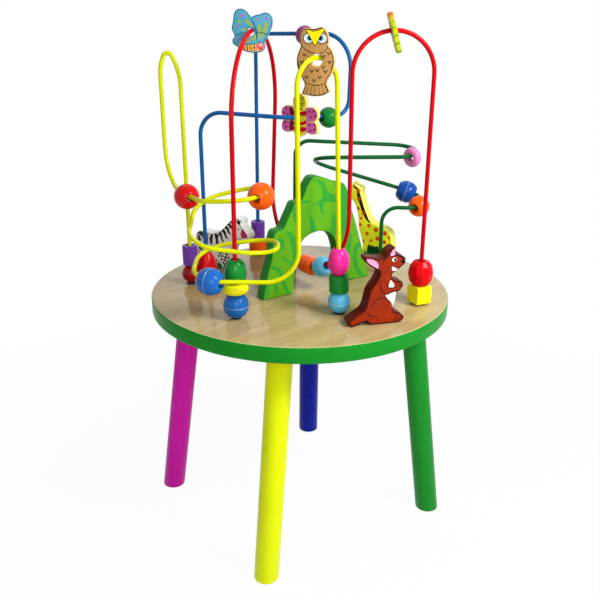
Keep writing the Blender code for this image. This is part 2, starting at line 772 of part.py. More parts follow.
# Stacks on the wire feet, from the grommet up: wire, last foot, beads
CUBE_TWIST = math.radians(29)
STACKS = (
    ("red", False, (
        ("ball_blue_front", ("grooved", 0.0274, 0.0266), BEAD_BLUE),
        ("disk_yellow", ("disk", 0.0280, 0.0110), LEMON),
        ("egg_green", ("egg", 0.0240, 0.0260, 0.15, 0.82), BEAD_GREEN))),
    ("red", True, (
        ("cube_yellow", ("cube", 0.0200), LEMON),
        ("barrel_red", ("barrel", 0.0290, 0.0280), RED))),
    ("yellow", False, (
        ("ball_dark_red", ("ball", 0.0222, 0.0212), DARK_RED),
        ("cylinder_purple_left", ("cylinder", 0.0185, 0.0240), PURPLE))),
    ("yellow", True, (
        ("ball_light_blue_front", ("grooved", 0.0245, 0.0223), LIGHT_BLUE),
        ("cylinder_green", ("cylinder", 0.0215, 0.0188), BEAD_GREEN),
        ("egg_pink", ("egg", 0.0232, 0.0296, 0.05, 0.88), PINK))),
    ("blue", False, (
        ("egg_red", ("egg", 0.0274, 0.0315, 0.30, 0.88), RED),)),
    ("blue", True, (
        ("cylinder_orange_back", ("cylinder", 0.0250, 0.0185), ORANGE),
        ("cylinder_purple_back", ("cylinder", 0.0185, 0.0252), PURPLE))),
)

# Beads on the bends: name, shape, wire, bend number from 1, share of the bend
BEND_BEADS = (
    ("cylinder_orange_tunnel", ("cylinder", 0.0215, 0.0200), "red", 4, 0.0, ORANGE),
    ("ball_light_blue_tunnel", ("grooved", 0.0238, 0.0215), "red", 4, 0.225, LIGHT_BLUE),
    ("ball_orange_loop", ("ball", 0.0292, 0.0270), "yellow", 6, 0.77, ORANGE),
    ("ball_blue_loop", ("grooved", 0.0290, 0.0270), "yellow", 13, 0.72, BEAD_BLUE),
    ("ring_pink", ("disk", 0.0240, 0.0100), "green", 3, 0.50, PALE_PINK),
    ("ball_blue_back", ("grooved", 0.0276, 0.0235), "green", 6, 0.14, BEAD_BLUE),
    ("ball_orange_back", ("ball", 0.0262, 0.0225), "green", 7, 0.42, ORANGE),
)

# Beads on straight runs: name, shape, wire, run number, share of the run
RUN_BEADS = (
    ("ball_red", ("ball", 0.0276, 0.0255), "yellow", 4, 0.36, RED),
    ("ball_green", ("ball", 0.0235, 0.0215), "blue", 2, 0.76, BEAD_GREEN),
    ("ball_purple", ("ball", 0.0220, 0.0200), "blue", 4, 0.34, PURPLE),
)

# Flat figures that slide: name, outline, hole, wire, bend, share, the plan
# angle and the rise of the front face's normal, colour
SLIDERS = (
    ("butterfly", BUTTERFLY_OUTLINE, (-2.4, -1.0), "red", 1, 0.89, -95.0, 0.0, LIGHT_BLUE),
    ("owl", OWL_OUTLINE, (0.9, -3.0), "yellow", 15, 1.0, -103.0, 0.0, TAN),
    ("bee", BEE_OUTLINE, (0.0, 0.0), "blue", 2, 0.92, -125.0, 0.0, PALE_PINK),
    ("grub", None, (0.0, 2.5), "red", 5, 0.98, 180.0, -16.8, LIME),
)


def seat_on_wire(route, at, axis, half, bore):
    """Where a piece hangs on a wire: the middle of its bore.

    The wire inside the bore is looked at along the bore. The piece is centred
    on it, then moves down until the bore is SEAT_GAP from the wire.
    """
    axis = axis.normalized()
    inside = []
    pts = route.points()
    for a, b in zip(pts, pts[1:]):
        count = max(1, int((b - a).length / 0.0005))
        for k in range(count):
            rel = a.lerp(b, k / count) - at
            along = rel.dot(axis)
            past = max(0.0, abs(along) - half)
            aside = rel - axis * along
            if past < WIRE_RADIUS and aside.length < 2 * bore:
                reach = math.sqrt(WIRE_RADIUS ** 2 - past ** 2)
                inside.append((aside, reach))

    def widest(center):
        return max(inside, key=lambda item: (item[0] - center).length + item[1])

    middle = Vector()
    for k in range(200):
        far, reach = widest(middle)
        middle += (far - middle) / (k + 2)
    down = Vector((0.0, 0.0, -1.0))
    down = (down - axis * down.dot(axis)).normalized()
    seat = middle.copy()
    for k in range(300):
        trial = middle + down * (k * 0.00002)
        far, reach = widest(trial)
        if (far - trial).length + reach > bore - SEAT_GAP:
            break
        seat = trial
    return at + seat


def run_ends(route, run):
    """Start and end of a straight run; run 0 starts at the first foot."""
    start = route.bends[run - 1].point(1.0) if run > 0 else route.corners[0]
    end = route.bends[run].start if run < len(route.bends) else route.corners[-1]
    return start, end


def make_stacks():
    for wire, last, beads in STACKS:
        at, up = ROUTES[wire].foot(last)
        level = grommet_top(up, *grommet_size(FOOT_NAMES[wire][int(last)]))
        for name, shape, color in beads:
            height = bead_height(shape)
            middle = at + up * (level + BEAD_GAP + height / 2)
            twist = CUBE_TWIST if shape[0] == "cube" else 0.0
            make_bead(name, shape, frame_along(up, middle, twist), color)
            level += BEAD_GAP + height


def pivot(name, bend):
    """An empty on a bend's axis, which a piece on that bend turns about."""
    empty = bpy.data.objects.new("pivot_" + name, None)
    empty.empty_display_size = 0.005
    PARTS.objects.link(empty)
    empty.matrix_world = Matrix.Translation(bend.center)
    return empty


def hold(obj, parent):
    """Parent an object and leave it where it is."""
    placed = obj.matrix_world.copy()
    obj.parent = parent
    obj.matrix_parent_inverse = parent.matrix_world.inverted()
    obj.matrix_world = placed


def make_bend_beads():
    for name, shape, wire, number, share, color in BEND_BEADS:
        route = ROUTES[wire]
        bend = route.bends[number - 1]
        axis = bend.tangent(share)
        middle = seat_on_wire(route, bend.point(share), axis, bead_height(shape) / 2,
                              WIDE_BORE)
        obj = make_bead(name, shape, frame_along(axis, middle), color, WIDE_BORE)
        hold(obj, pivot(name, bend))


def make_run_beads():
    for name, shape, wire, number, share, color in RUN_BEADS:
        route = ROUTES[wire]
        start, end = run_ends(route, number)
        axis = (end - start).normalized()
        at = start.lerp(end, share)
        middle = seat_on_wire(route, at, axis, bead_height(shape) / 2, BORE)
        make_bead(name, shape, frame_along(axis, middle), color)


def slider_hole_radius(angle):
    """The hole that lets the wire pass a plate at an angle to its normal."""
    slant = SLIDER_THICKNESS / 2 * math.tan(angle)
    return WIRE_RADIUS / math.cos(angle) + slant + SEAT_GAP + SLIDER_HOLE_PLAY


def make_sliders():
    for name, outline, spot, wire, number, share, facing, rise, color in SLIDERS:
        route = ROUTES[wire]
        bend = route.bends[number - 1]
        along = bend.tangent(share)
        plan = Vector((math.cos(math.radians(facing)), math.sin(math.radians(facing)), 0.0))
        normal = plan * math.cos(math.radians(rise))
        normal.z = math.sin(math.radians(rise))
        angle = min(along.angle(normal), along.angle(-normal))
        radius = slider_hole_radius(angle)
        side = Vector((-plan.y, plan.x, 0.0))
        middle = seat_on_wire(route, bend.point(share), normal, SLIDER_THICKNESS / 2,
                              radius)
        hole = Vector((spot[0] * MM, spot[1] * MM, 0.0))
        axes = Matrix((side, normal.cross(side), normal)).transposed().to_4x4()
        place = Matrix.Translation(middle) @ axes @ Matrix.Translation(-hole)
        shape = outline or grub_outline()
        mesh = plate_mesh(name, shape, SLIDER_THICKNESS, ((hole.x, hole.y), radius))
        obj = paint(add_part(name, mesh, place), color, 0.35)
        hold(obj, pivot(name, bend))


def main():
    make_top()
    for leg in LEGS:
        make_leg(leg)
        make_bolt(leg)
    make_wire("wire_red", ROUTES["red"], RED)
    make_wire("wire_yellow", ROUTES["yellow"], YELLOW)
    make_wire("wire_blue", ROUTES["blue"], BLUE)
    make_wire("wire_green", ROUTES["green"], GREEN)
    for name, at, up, radius, height in wire_feet():
        make_grommet(name, at, up, radius, height)
    figures = (
        ("mountain", MOUNTAIN_OUTLINE, MOUNTAIN_AT, MOUNTAIN_THICKNESS, LEAF),
        ("kangaroo", KANGAROO_OUTLINE, KANGAROO_AT, FIGURE_THICKNESS, BROWN),
        ("giraffe", GIRAFFE_OUTLINE, GIRAFFE_AT, FIGURE_THICKNESS, LIME),
        ("zebra", ZEBRA_OUTLINE, ZEBRA_AT, FIGURE_THICKNESS, WHITE),
    )
    for figure in figures:
        make_standing(*figure)
    for name, spot in figure_screws():
        make_screw(name, spot)
    make_stacks()
    make_bend_beads()
    make_run_beads()
    make_sliders()


main()
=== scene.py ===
"""Activity table: the looks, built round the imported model. Metres, +Z up."""
import json
import math

import bmesh
import bpy
import numpy
from mathutils import Matrix, Vector
from mathutils.geometry import tessellate_polygon

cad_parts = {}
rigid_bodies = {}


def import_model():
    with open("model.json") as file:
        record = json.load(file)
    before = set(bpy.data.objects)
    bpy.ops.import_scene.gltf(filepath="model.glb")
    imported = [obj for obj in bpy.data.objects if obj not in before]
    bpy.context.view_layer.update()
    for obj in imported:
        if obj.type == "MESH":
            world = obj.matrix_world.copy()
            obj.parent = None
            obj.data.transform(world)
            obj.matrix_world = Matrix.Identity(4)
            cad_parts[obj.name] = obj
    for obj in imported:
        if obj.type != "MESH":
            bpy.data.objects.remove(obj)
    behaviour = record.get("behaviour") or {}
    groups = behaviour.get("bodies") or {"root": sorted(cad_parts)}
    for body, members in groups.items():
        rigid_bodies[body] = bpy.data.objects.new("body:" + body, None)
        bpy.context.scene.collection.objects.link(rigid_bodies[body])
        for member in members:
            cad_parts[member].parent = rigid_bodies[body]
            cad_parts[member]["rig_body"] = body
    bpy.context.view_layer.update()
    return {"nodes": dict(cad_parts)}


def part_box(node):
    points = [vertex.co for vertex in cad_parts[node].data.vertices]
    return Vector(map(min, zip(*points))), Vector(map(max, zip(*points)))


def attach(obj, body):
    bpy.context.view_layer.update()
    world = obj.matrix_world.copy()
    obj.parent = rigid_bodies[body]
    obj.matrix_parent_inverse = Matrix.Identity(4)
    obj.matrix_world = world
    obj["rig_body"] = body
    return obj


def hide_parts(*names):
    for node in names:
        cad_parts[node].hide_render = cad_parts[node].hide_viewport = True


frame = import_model()
NODES = frame["nodes"]

MM = 0.001
TABLE_HEIGHT = 0.292
TABLE_RADIUS = 0.175
TOP_THICKNESS = 0.018
TOP_EDGE_ROUND = 0.0015
TOP_STEPS = 240
RECESS_RADIUS = 0.0039       # of the hole that takes a screw's head
RECESS_ROOM = 0.0025         # from a screw's lower end to the end of its hole
LEG_RADIUS = 0.014
LEG_TOP_INSET = 0.041        # rim to leg axis, at the underside of the top
LEG_SPREAD = 0.0345
LEG_END_ROUND = 0.0018
WIRE_RADIUS = 0.0024
WIRE_IN_TOP = 0.0100
FIT_GAP = 0.0003
STANDING_THICKNESS = 0.016
MOUNTAIN_THICKNESS = 0.0145
SLIDING_THICKNESS = 0.0052
PAINT_LIFT = 0.00003         # printed ink over the face, and what each layer adds
PAINT_LAYER = 0.000005
PAINT_SUNK = 0.00001

ROOT = bpy.context.scene.collection
PIECES = bpy.data.collections.new("dressed_pieces")
ROOT.children.link(PIECES)


# Materials

def linear(red, green, blue):
    """A colour given as 0 to 255 in sRGB, as linear values."""
    out = []
    for value in (red, green, blue):
        v = value / 255
        out.append(v / 12.92 if v <= 0.04045 else ((v + 0.055) / 1.055) ** 2.4)
    return out


def shade(color, factor):
    return [max(0.0, min(1.0, c * factor)) for c in color]


def set_inputs(node, **values):
    """Set a node's inputs by name, with an underscore for each space."""
    for name, value in values.items():
        node.inputs[name.replace("_", " ")].default_value = value


def make_node(tree, kind, **values):
    node = tree.nodes.new("ShaderNode" + kind)
    set_inputs(node, **values)
    return node


class Finish:
    """A procedural material, built node by node."""

    def __init__(self, name, rough=0.3, specular=0.15, metallic=0.0):
        self.mat = bpy.data.materials.new(name)
        self.mat.use_nodes = True
        self.tree = self.mat.node_tree
        self.shader = self.tree.nodes["Principled BSDF"]
        set_inputs(self.shader, Roughness=rough, Metallic=metallic, Specular_IOR_Level=specular)
        self.coord = make_node(self.tree, "TexCoord").outputs["Object"]

    def link(self, a, b):
        self.tree.links.new(a, b)

    def place(self, stretch=(1, 1, 1), turn=0.0):
        """Object coordinates, turned about Z and stretched along the axes."""
        node = make_node(self.tree, "Mapping")
        node.vector_type = "TEXTURE"
        set_inputs(node, Scale=stretch, Rotation=(0, 0, math.radians(turn)))
        self.link(self.coord, node.inputs["Vector"])
        return node.outputs["Vector"]

    def noise(self, scale, detail=3.0, rough=0.5, vector=None, distort=0.0):
        node = make_node(self.tree, "TexNoise", Scale=scale, Detail=detail, Roughness=rough,
                         Distortion=distort)
        self.link(vector or self.coord, node.inputs["Vector"])
        return node.outputs["Fac"]

    def ramp(self, fac, stops):
        node = make_node(self.tree, "ValToRGB")
        while len(node.color_ramp.elements) < len(stops):
            node.color_ramp.elements.new(0.5)
        for element, (at, color) in zip(node.color_ramp.elements, stops):
            element.position = at
            element.color = (*color, 1.0)
        self.link(fac, node.inputs["Fac"])
        return node.outputs["Color"]

    def mix(self, fac, under, over):
        """Lay a plain colour over a colour socket."""
        node = make_node(self.tree, "Mix")
        node.data_type = "RGBA"
        self.link(fac, node.inputs[0])
        self.link(under, node.inputs[6])
        node.inputs[7].default_value = (*over, 1.0)
        return node.outputs[2]

    def map_range(self, fac, low, high, from_low=0.3, from_high=0.7):
        node = make_node(self.tree, "MapRange", From_Min=from_low, From_Max=from_high,
                         To_Min=low, To_Max=high)
        self.link(fac, node.inputs["Value"])
        return node.outputs["Result"]

    def color(self, socket):
        self.link(socket, self.shader.inputs["Base Color"])

    def roughness(self, socket):
        self.link(socket, self.shader.inputs["Roughness"])

    def bump(self, height, strength, distance=0.00005):
        node = make_node(self.tree, "Bump", Strength=strength, Distance=distance)
        self.link(height, node.inputs["Height"])
        self.link(node.outputs["Normal"], self.shader.inputs["Normal"])


def lacquer(name, color, tone=0.08, rough=0.24, specular=0.15, stretch=(1, 1, 1),
            scale=90.0, bump=0.03):
    """Glossy paint on wood: a slight drift of tone and of gloss."""
    f = Finish(name, rough, specular)
    along = f.place(stretch)
    drift = f.noise(scale, 3.0, 0.5, along)
    f.color(f.ramp(drift, ((0.28, shade(color, 1 - tone)), (0.52, color),
                           (0.76, shade(color, 1 + tone * 0.8)))))
    fine = f.noise(700.0, 2.0, 0.5, along)
    f.roughness(f.map_range(fine, rough - 0.04, rough + 0.05))
    f.bump(fine, bump)
    return f.mat


def coated_wire(name, color):
    """Steel wire in a smooth plastic coat."""
    f = Finish(name, 0.24, 0.08)
    cloud = f.noise(40.0, 2.0, 0.5)
    f.color(f.ramp(cloud, ((0.3, shade(color, 0.94)), (0.55, color), (0.8, shade(color, 1.05)))))
    fine = f.noise(160.0, 2.0, 0.5)
    f.roughness(f.map_range(fine, 0.18, 0.26))
    return f.mat


GRAIN_TURN = 42.0


def laminate(name):
    """Beech laminate: fine streaks along the grain, under a gloss."""
    f = Finish(name, 0.13, 0.4)
    along = f.place((14.0, 1.0, 1.0), GRAIN_TURN)
    broad = f.noise(75.0, 3.0, 0.5, along, 0.2)
    thin = f.noise(520.0, 3.0, 0.55, along)
    fleck = f.noise(1300.0, 1.0, 0.4, f.place((6.0, 1.0, 1.0), GRAIN_TURN))
    ground = f.ramp(broad, ((0.30, linear(180, 158, 108)), (0.5, linear(186, 164, 113)),
                            (0.70, linear(194, 172, 122))))
    lined = f.mix(f.map_range(thin, 0.0, 0.6, 0.44, 0.72), ground, linear(154, 129, 82))
    pores = f.map_range(fleck, 0.0, 0.34, 0.60, 0.74)
    f.color(f.mix(pores, lined, linear(140, 114, 72)))
    f.roughness(f.map_range(thin, 0.10, 0.17))
    return f.mat


def board(name):
    """The bare underside of the top."""
    f = Finish(name, 0.62, 0.2)
    lines = f.noise(300.0, 4.0, 0.6, f.place((12.0, 1.0, 1.0), GRAIN_TURN))
    f.color(f.ramp(lines, ((0.3, linear(176, 142, 98)), (0.5, linear(198, 166, 120)),
                           (0.7, linear(210, 182, 138)))))
    f.bump(lines, 0.2, 0.0001)
    return f.mat


def ripe(name, color, end, start, stop):
    """Mottled paint that turns to another colour up the figure."""
    f = Finish(name, 0.3, 0.12)
    mottle = f.noise(260.0, 3.0, 0.6)
    base = f.ramp(mottle, ((0.36, shade(color, 0.72)), (0.52, color), (0.66, shade(color, 1.2))))
    parts = make_node(f.tree, "SeparateXYZ")
    f.link(f.coord, parts.inputs["Vector"])
    up = f.map_range(parts.outputs["Y"], 0.0, 1.0, start, stop)
    f.color(f.mix(up, base, end))
    return f.mat


def plastic(name, color):
    f = Finish(name, 0.36, 0.3)
    fine = f.noise(700.0, 3.0, 0.6)
    f.color(f.ramp(fine, ((0.3, shade(color, 0.7)), (0.7, shade(color, 1.4)))))
    f.roughness(f.map_range(fine, 0.3, 0.45))
    f.bump(fine, 0.1)
    return f.mat


def steel(name):
    f = Finish(name, 0.3, 0.5, 1.0)
    lines = f.noise(800.0, 3.0, 0.6, f.place((1.0, 1.0, 5.0)))
    f.color(f.ramp(lines, ((0.3, (0.42, 0.42, 0.43)), (0.7, (0.62, 0.62, 0.63)))))
    f.roughness(f.map_range(lines, 0.24, 0.38))
    f.bump(lines, 0.1)
    return f.mat


MADE = {}


def ink(name):
    """A flat printed colour, with a little unevenness; the bee's maroon on its wings is painted shade.
    """
    if name not in MADE:
        MADE[name] = lacquer("ink_" + name, INKS[name], 0.06, 0.3, 0.1, (1, 1, 1), 160.0, 0.02)
    return MADE[name]


COLORS = {
    "red": linear(214, 4, 14), "dark_red": linear(156, 2, 10), "lemon": linear(246, 238, 12),
    "bead_blue": linear(24, 100, 184), "deep_blue": linear(10, 70, 158),
    "light_blue": linear(92, 190, 230), "bead_green": linear(16, 132, 46),
    "orange": linear(252, 92, 10), "purple": linear(112, 56, 165), "plum": linear(136, 44, 112),
    "pink": linear(235, 40, 145), "pale_pink": linear(225, 130, 185),
}
INKS = {
    "black": linear(22, 18, 18), "white": linear(244, 244, 240), "leaf_dark": linear(50, 158, 52),
    "pink": linear(240, 158, 196), "mane": linear(60, 10, 0), "grass": linear(12, 90, 42),
    "grass_light": linear(58, 140, 62), "spot": linear(232, 74, 14), "outline": linear(110, 96, 14),
    "muzzle": linear(222, 50, 104), "maroon": linear(112, 14, 40), "turf": linear(18, 112, 50),
    "navy": linear(14, 34, 88), "olive": linear(160, 170, 36), "violet": linear(172, 96, 172),
    "yellow": linear(232, 222, 60), "rose": linear(226, 80, 110), "brown": linear(44, 22, 12),
    "cream": linear(222, 186, 130), "iris": linear(126, 184, 216), "pupil": linear(16, 26, 84),
    "brow": linear(244, 228, 16), "bee_pink": linear(226, 108, 188),
    "bee_body": linear(236, 228, 50), "bee_red": linear(206, 4, 14), "lime": linear(196, 206, 34),
    "bee_spot": linear(150, 14, 70), "grub_line": linear(40, 128, 50),
    "orange_tip": linear(238, 90, 20),
}


# Placing pieces


def add(name, data, matrix=None, home=PIECES):
    obj = bpy.data.objects.new(name, data)
    home.objects.link(obj)
    if matrix is not None:
        obj.matrix_world = matrix
    return obj


def go_with(obj, node):
    """Ride on the node's body, without replacing it."""
    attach(obj, NODES[node]["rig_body"])


def wear(obj, node):
    """Ride on the node's body and stand for the node, which it hides."""
    go_with(obj, node)
    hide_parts(node)


def smooth(mesh, angle):
    mesh.shade_smooth()
    mesh.set_sharp_from_angle(angle=math.radians(angle))


def mesh_of(bm, name):
    """Turn a finished bmesh into a mesh."""
    mesh = bpy.data.meshes.new(name)
    bm.to_mesh(mesh)
    bm.free()
    return mesh


def fresh_mesh(obj):
    """The mesh of an object with its modifiers applied."""
    bpy.context.view_layer.update()
    graph = bpy.context.evaluated_depsgraph_get()
    return bpy.data.meshes.new_from_object(obj.evaluated_get(graph))


def bake(obj):
    """Apply an object's modifiers to its mesh."""
    mesh = fresh_mesh(obj)
    obj.modifiers.clear()
    obj.data = mesh
    mesh.name = obj.name


def ease_edges(obj, width, segments, angle=30):
    """Round the edges at which an object's faces turn by more than an angle."""
    ease = obj.modifiers.new("eased_edges", "BEVEL")
    ease.width = width
    ease.segments = segments
    ease.limit_method = "ANGLE"
    ease.angle_limit = math.radians(angle)


def cut_away(obj, mesh, matrix=None):
    """Cut a mesh's form out of an object, and apply its modifiers."""
    cutter = add(mesh.name, mesh, matrix, ROOT)
    cut = obj.modifiers.new("cut", "BOOLEAN")
    cut.object = cutter
    cut.solver = "EXACT"
    bake(obj)
    bpy.data.objects.remove(cutter, do_unlink=True)


# Wires

RED_CORNERS = (
    (-68, -99, 0, 0), (-68.5, -99, 290, 86), (-29, 74, 290, 86),
    (-37, 74, 27, 73), (53.5, -50, 27, 73), (51, -50, 291, 42),
    (136.3, -40, 291, 42), (134.9, -50.5, 0, 0),
)
YELLOW_CORNERS = (
    (-131.2, 11.4, 0, 0), (-133.6, 11.4, 246, 74), (-146.8, 11.4, 272.6, 5.0),
    (-155.2, 11.4, 250.5, 45), (-154.2, 11.4, 119, 45), (-103, -84, 123.5, 24),
    (-38, -92, 127, 34),
    (-38, -20, 129, 34), (-117, -18, 110, 33), (-117, -113, 84, 36),
    (-24, -113, 74.5, 36), (-24, -38, 72.5, 34), (-113, -32, 59, 34),
    (-113, -119, 48, 34), (-1, -119, 48, 34), (-5, -119, 267, 26.5),
    (34, -82, 267, 26.5), (43.2, -82, 0, 0),
)
BLUE_CORNERS = (
    (-115, 30.4, 0, 0), (-116.5, 30.4, 201.5, 27), (-14, -8, 199.5, 35),
    (54.5, 46, 197, 18), (56.5, 48, 286, 38), (-57.3, 131.2, 283, 22),
    (-57.3, 131.2, 0, 0),
)
GREEN_CORNERS = (
    (-7.5, 100, 0, 0), (-7.5, 100, 159, 18), (140.5, 100, 153.5, 25.5),
    (140.5, 48, 148.5, 24), (17, 52, 146, 25), (17, 105, 130, 25),
    (150, 98, 93, 23), (154, 46.5, 86, 22), (100, 54, 86, 20), (101, 56, 0, 0),
)


def wire_path(corners):
    """The middle line of a wire, with a fine step round each bend."""
    at = [Vector((x * MM, y * MM, z * MM + TABLE_HEIGHT)) for x, y, z, r in corners]
    first = (at[1] - at[0]).normalized()
    pts = [at[0] - first * (WIRE_IN_TOP / first.z)]
    for i in range(1, len(at) - 1):
        radius = corners[i][3] * MM
        back = (at[i - 1] - at[i]).normalized()
        ahead = (at[i + 1] - at[i]).normalized()
        half = back.angle(ahead) / 2
        middle = at[i] + (back + ahead).normalized() * (radius / math.sin(half))
        arm = (at[i] + back * (radius / math.tan(half)) - middle).normalized()
        axis = arm.cross(-back).normalized()
        sweep = math.pi - 2 * half
        count = max(4, math.ceil(math.degrees(sweep) / 3.0))
        for k in range(count + 1):
            turn = Matrix.Rotation(sweep * k / count, 3, axis)
            pts.append(middle + turn @ arm * radius)
    last = (at[-2] - at[-1]).normalized()
    pts.append(at[-1] - last * (WIRE_IN_TOP / last.z))
    return pts


def fine_wire(color, corners, tint):
    node = "wire_" + color
    curve = bpy.data.curves.new(node + "_coated", "CURVE")
    curve.dimensions = "3D"
    curve.bevel_depth = WIRE_RADIUS
    curve.bevel_resolution = 4
    curve.use_fill_caps = True
    pts = wire_path(corners)
    spline = curve.splines.new("POLY")
    spline.points.add(len(pts) - 1)
    for target, pt in zip(spline.points, pts):
        target.co = (*pt, 1.0)
    spline.use_smooth = True
    curve.materials.append(coated_wire(node + "_coat", tint))
    wear(add(node + "_coated", curve), node)


fine_wire("red", RED_CORNERS, linear(196, 2, 14))
fine_wire("yellow", YELLOW_CORNERS, linear(214, 222, 4))
fine_wire("blue", BLUE_CORNERS, linear(24, 92, 158))
fine_wire("green", GREEN_CORNERS, linear(8, 92, 42))


# Beads and other turned pieces

def welded(node):
    """A copy of a CAD node with its vertices joined and its quads back."""
    mesh = NODES[node].data.copy()
    bm = bmesh.new()
    bm.from_mesh(mesh)
    bmesh.ops.remove_doubles(bm, verts=bm.verts[:], dist=0.00002)
    bmesh.ops.recalc_face_normals(bm, faces=bm.faces[:])
    bmesh.ops.join_triangles(bm, faces=bm.faces[:], angle_face_threshold=0.7,
                             angle_shape_threshold=0.9)
    return mesh, bm


def fine_grommet(node):
    """A smooth, finely stepped form of a black ring."""
    mesh, bm = welded(node)
    layer = bm.edges.layers.float.new("crease_edge")
    for edge in bm.edges:
        if len(edge.link_faces) == 2 and edge.calc_face_angle(0.0) > math.radians(42):
            edge[layer] = 0.6
    bm.to_mesh(mesh)
    bm.free()
    mesh.shade_smooth()
    mesh.materials.clear()
    mesh.materials.append(plastic(node + "_plastic", (0.018, 0.018, 0.020)))
    mesh.name = node + "_turned"
    obj = add(node + "_turned", mesh)
    mod = obj.modifiers.new("finer", "SUBSURF")
    mod.levels = 2
    mod.render_levels = 2
    wear(obj, node)


def axis_of(node):
    """A turned CAD node's frame along its axis, half height, radius and bore.

    A turned shape spreads equally in all directions across its axis, so the
    axis is the one direction in which its corners spread differently.
    """
    seen = {tuple(round(c / 0.00002) for c in v.co): v.co for v in NODES[node].data.vertices}
    pts = numpy.array([tuple(co) for co in seen.values()])
    middle = pts.mean(axis=0)
    pts = pts - middle
    spread, ways = numpy.linalg.eigh(pts.T @ pts)
    odd = 2 if spread[1] - spread[0] < spread[2] - spread[1] else 0
    way = ways[:, odd] * (1.0 if ways[2, odd] >= 0 else -1.0)
    along = pts @ way
    across = numpy.linalg.norm(pts - numpy.outer(along, way), axis=1)
    axis = Vector(way).normalized()
    turn = Vector((0, 0, 1)).rotation_difference(axis).to_matrix().to_4x4()
    place = Matrix.Translation(Vector(middle)) @ turn
    return place, float(along.max()), float(across.max()), float(across.min()), pts


def arc(steps):
    """Angles from a quarter turn up to a quarter turn down."""
    return [math.pi / 2 - math.pi * k / steps for k in range(steps + 1)]


def ball_line(r, h, bore, full=1.0):
    flat = math.asin(min(1.0, h / r))
    least = bore + BEAD_EDGE / 3
    return [(max(least, r * math.cos(a * 2 / math.pi * flat) ** full),
             r * math.sin(a * 2 / math.pi * flat)) for a in arc(36)]


def grooved_line(r, h, bore):
    line = ball_line(r, h, bore, GROOVED_FULLNESS)
    g, d = GROOVE_HALF, GROOVE_DEPTH
    upper = [p for p in line if p[1] > g * 1.3]
    lip = [(r, g * 1.1), (r - d * 0.18, g * 0.8), (r - d * 0.8, g * 0.45), (r - d, 0.0)]
    return upper + lip + [(x, -z) for x, z in reversed(upper + lip[:-1])]


def disk_line(r, h, bore):
    round_by = h * 0.95
    return [(r - round_by + round_by * math.cos(a), h * math.sin(a)) for a in arc(20)]


def egg_line(r, h, bore, lean, point):
    out = []
    for k in range(41):
        u = 1 - k / 20
        t = max(-1.0, min(1.0, u + lean * (1 - u * u)))
        end = max(0.0, abs(u) - 1 + BEAD_EDGE / h) * h / BEAD_EDGE
        eased = BEAD_EDGE * (1 - math.sqrt(1 - end * end))
        out.append((max(bore + BEAD_EDGE, r * math.sqrt(1 - (point * t) ** 2)) - eased, u * h))
    return out


def cylinder_line(r, h, bore):
    e = BEAD_EDGE
    upper = [(r - e + e * math.cos(a), h - e + e * math.sin(a)) for a in arc(16) if a >= 0]
    return upper + [(x, -z) for x, z in reversed(upper)]


BEAD_EDGE = 0.0010
GROOVE_DEPTH = 0.0007
GROOVE_HALF = 0.00065
GROOVED_FULLNESS = 0.78
CHAMFER = 0.0003


def turn_line(name, line, half, bore, steps=72):
    """Turn an outer line about Z, and close it down the bore."""
    line = line + [(bore + CHAMFER, -half), (bore, CHAMFER - half), (bore, half - CHAMFER),
                   (bore + CHAMFER, half)]
    bm = bmesh.new()
    rings = [[bm.verts.new((r * math.cos(2 * math.pi * s / steps),
                            r * math.sin(2 * math.pi * s / steps), z)) for s in range(steps)]
             for r, z in line]
    for i, ring in enumerate(rings):
        other = rings[(i + 1) % len(rings)]
        for s in range(steps):
            bm.faces.new((ring[s - 1], other[s - 1], other[s], ring[s]))
    bmesh.ops.remove_doubles(bm, verts=bm.verts[:], dist=0.000001)
    bmesh.ops.recalc_face_normals(bm, faces=bm.faces[:])
    mesh = mesh_of(bm, name)
    smooth(mesh, 40)
    return mesh


LINES = {"ball": ball_line, "grooved": grooved_line, "disk": disk_line, "egg": egg_line,
         "cylinder": cylinder_line}
BEADS = {
    "ball_blue_front": ("grooved", "bead_blue"), "disk_yellow": ("disk", "lemon"),
    "egg_green": ("egg", "bead_green", 0.15, 0.82), "ball_dark_red": ("ball", "dark_red"),
    "cylinder_purple_left": ("cylinder", "purple"),
    "ball_light_blue_front": ("grooved", "light_blue"),
    "cylinder_green": ("cylinder", "bead_green"), "egg_pink": ("egg", "pink", 0.05, 0.88),
    "egg_red": ("egg", "red", 0.30, 0.88), "cylinder_orange_back": ("cylinder", "orange"),
    "cylinder_purple_back": ("cylinder", "purple"),
    "cylinder_orange_tunnel": ("cylinder", "orange"),
    "ball_light_blue_tunnel": ("grooved", "light_blue"), "ball_orange_loop": ("ball", "orange"),
    "ball_blue_loop": ("grooved", "bead_blue"), "ring_pink": ("disk", "pale_pink"),
    "ball_blue_back": ("grooved", "deep_blue"), "ball_orange_back": ("ball", "orange"),
    "ball_red": ("ball", "red"), "ball_green": ("ball", "bead_green"),
    "ball_purple": ("ball", "plum"),
}


def bead_finish(node, key):
    color = COLORS[key]
    if key in ("bead_blue", "light_blue"):
        return lacquer(node + "_stain", color, 0.09, 0.14, 0.16, (1, 1, 5.0), 130.0, 0.01)
    return lacquer(node + "_lacquer", color, 0.03, 0.12, 0.16, (1, 1, 3.0), 60.0, 0.01)


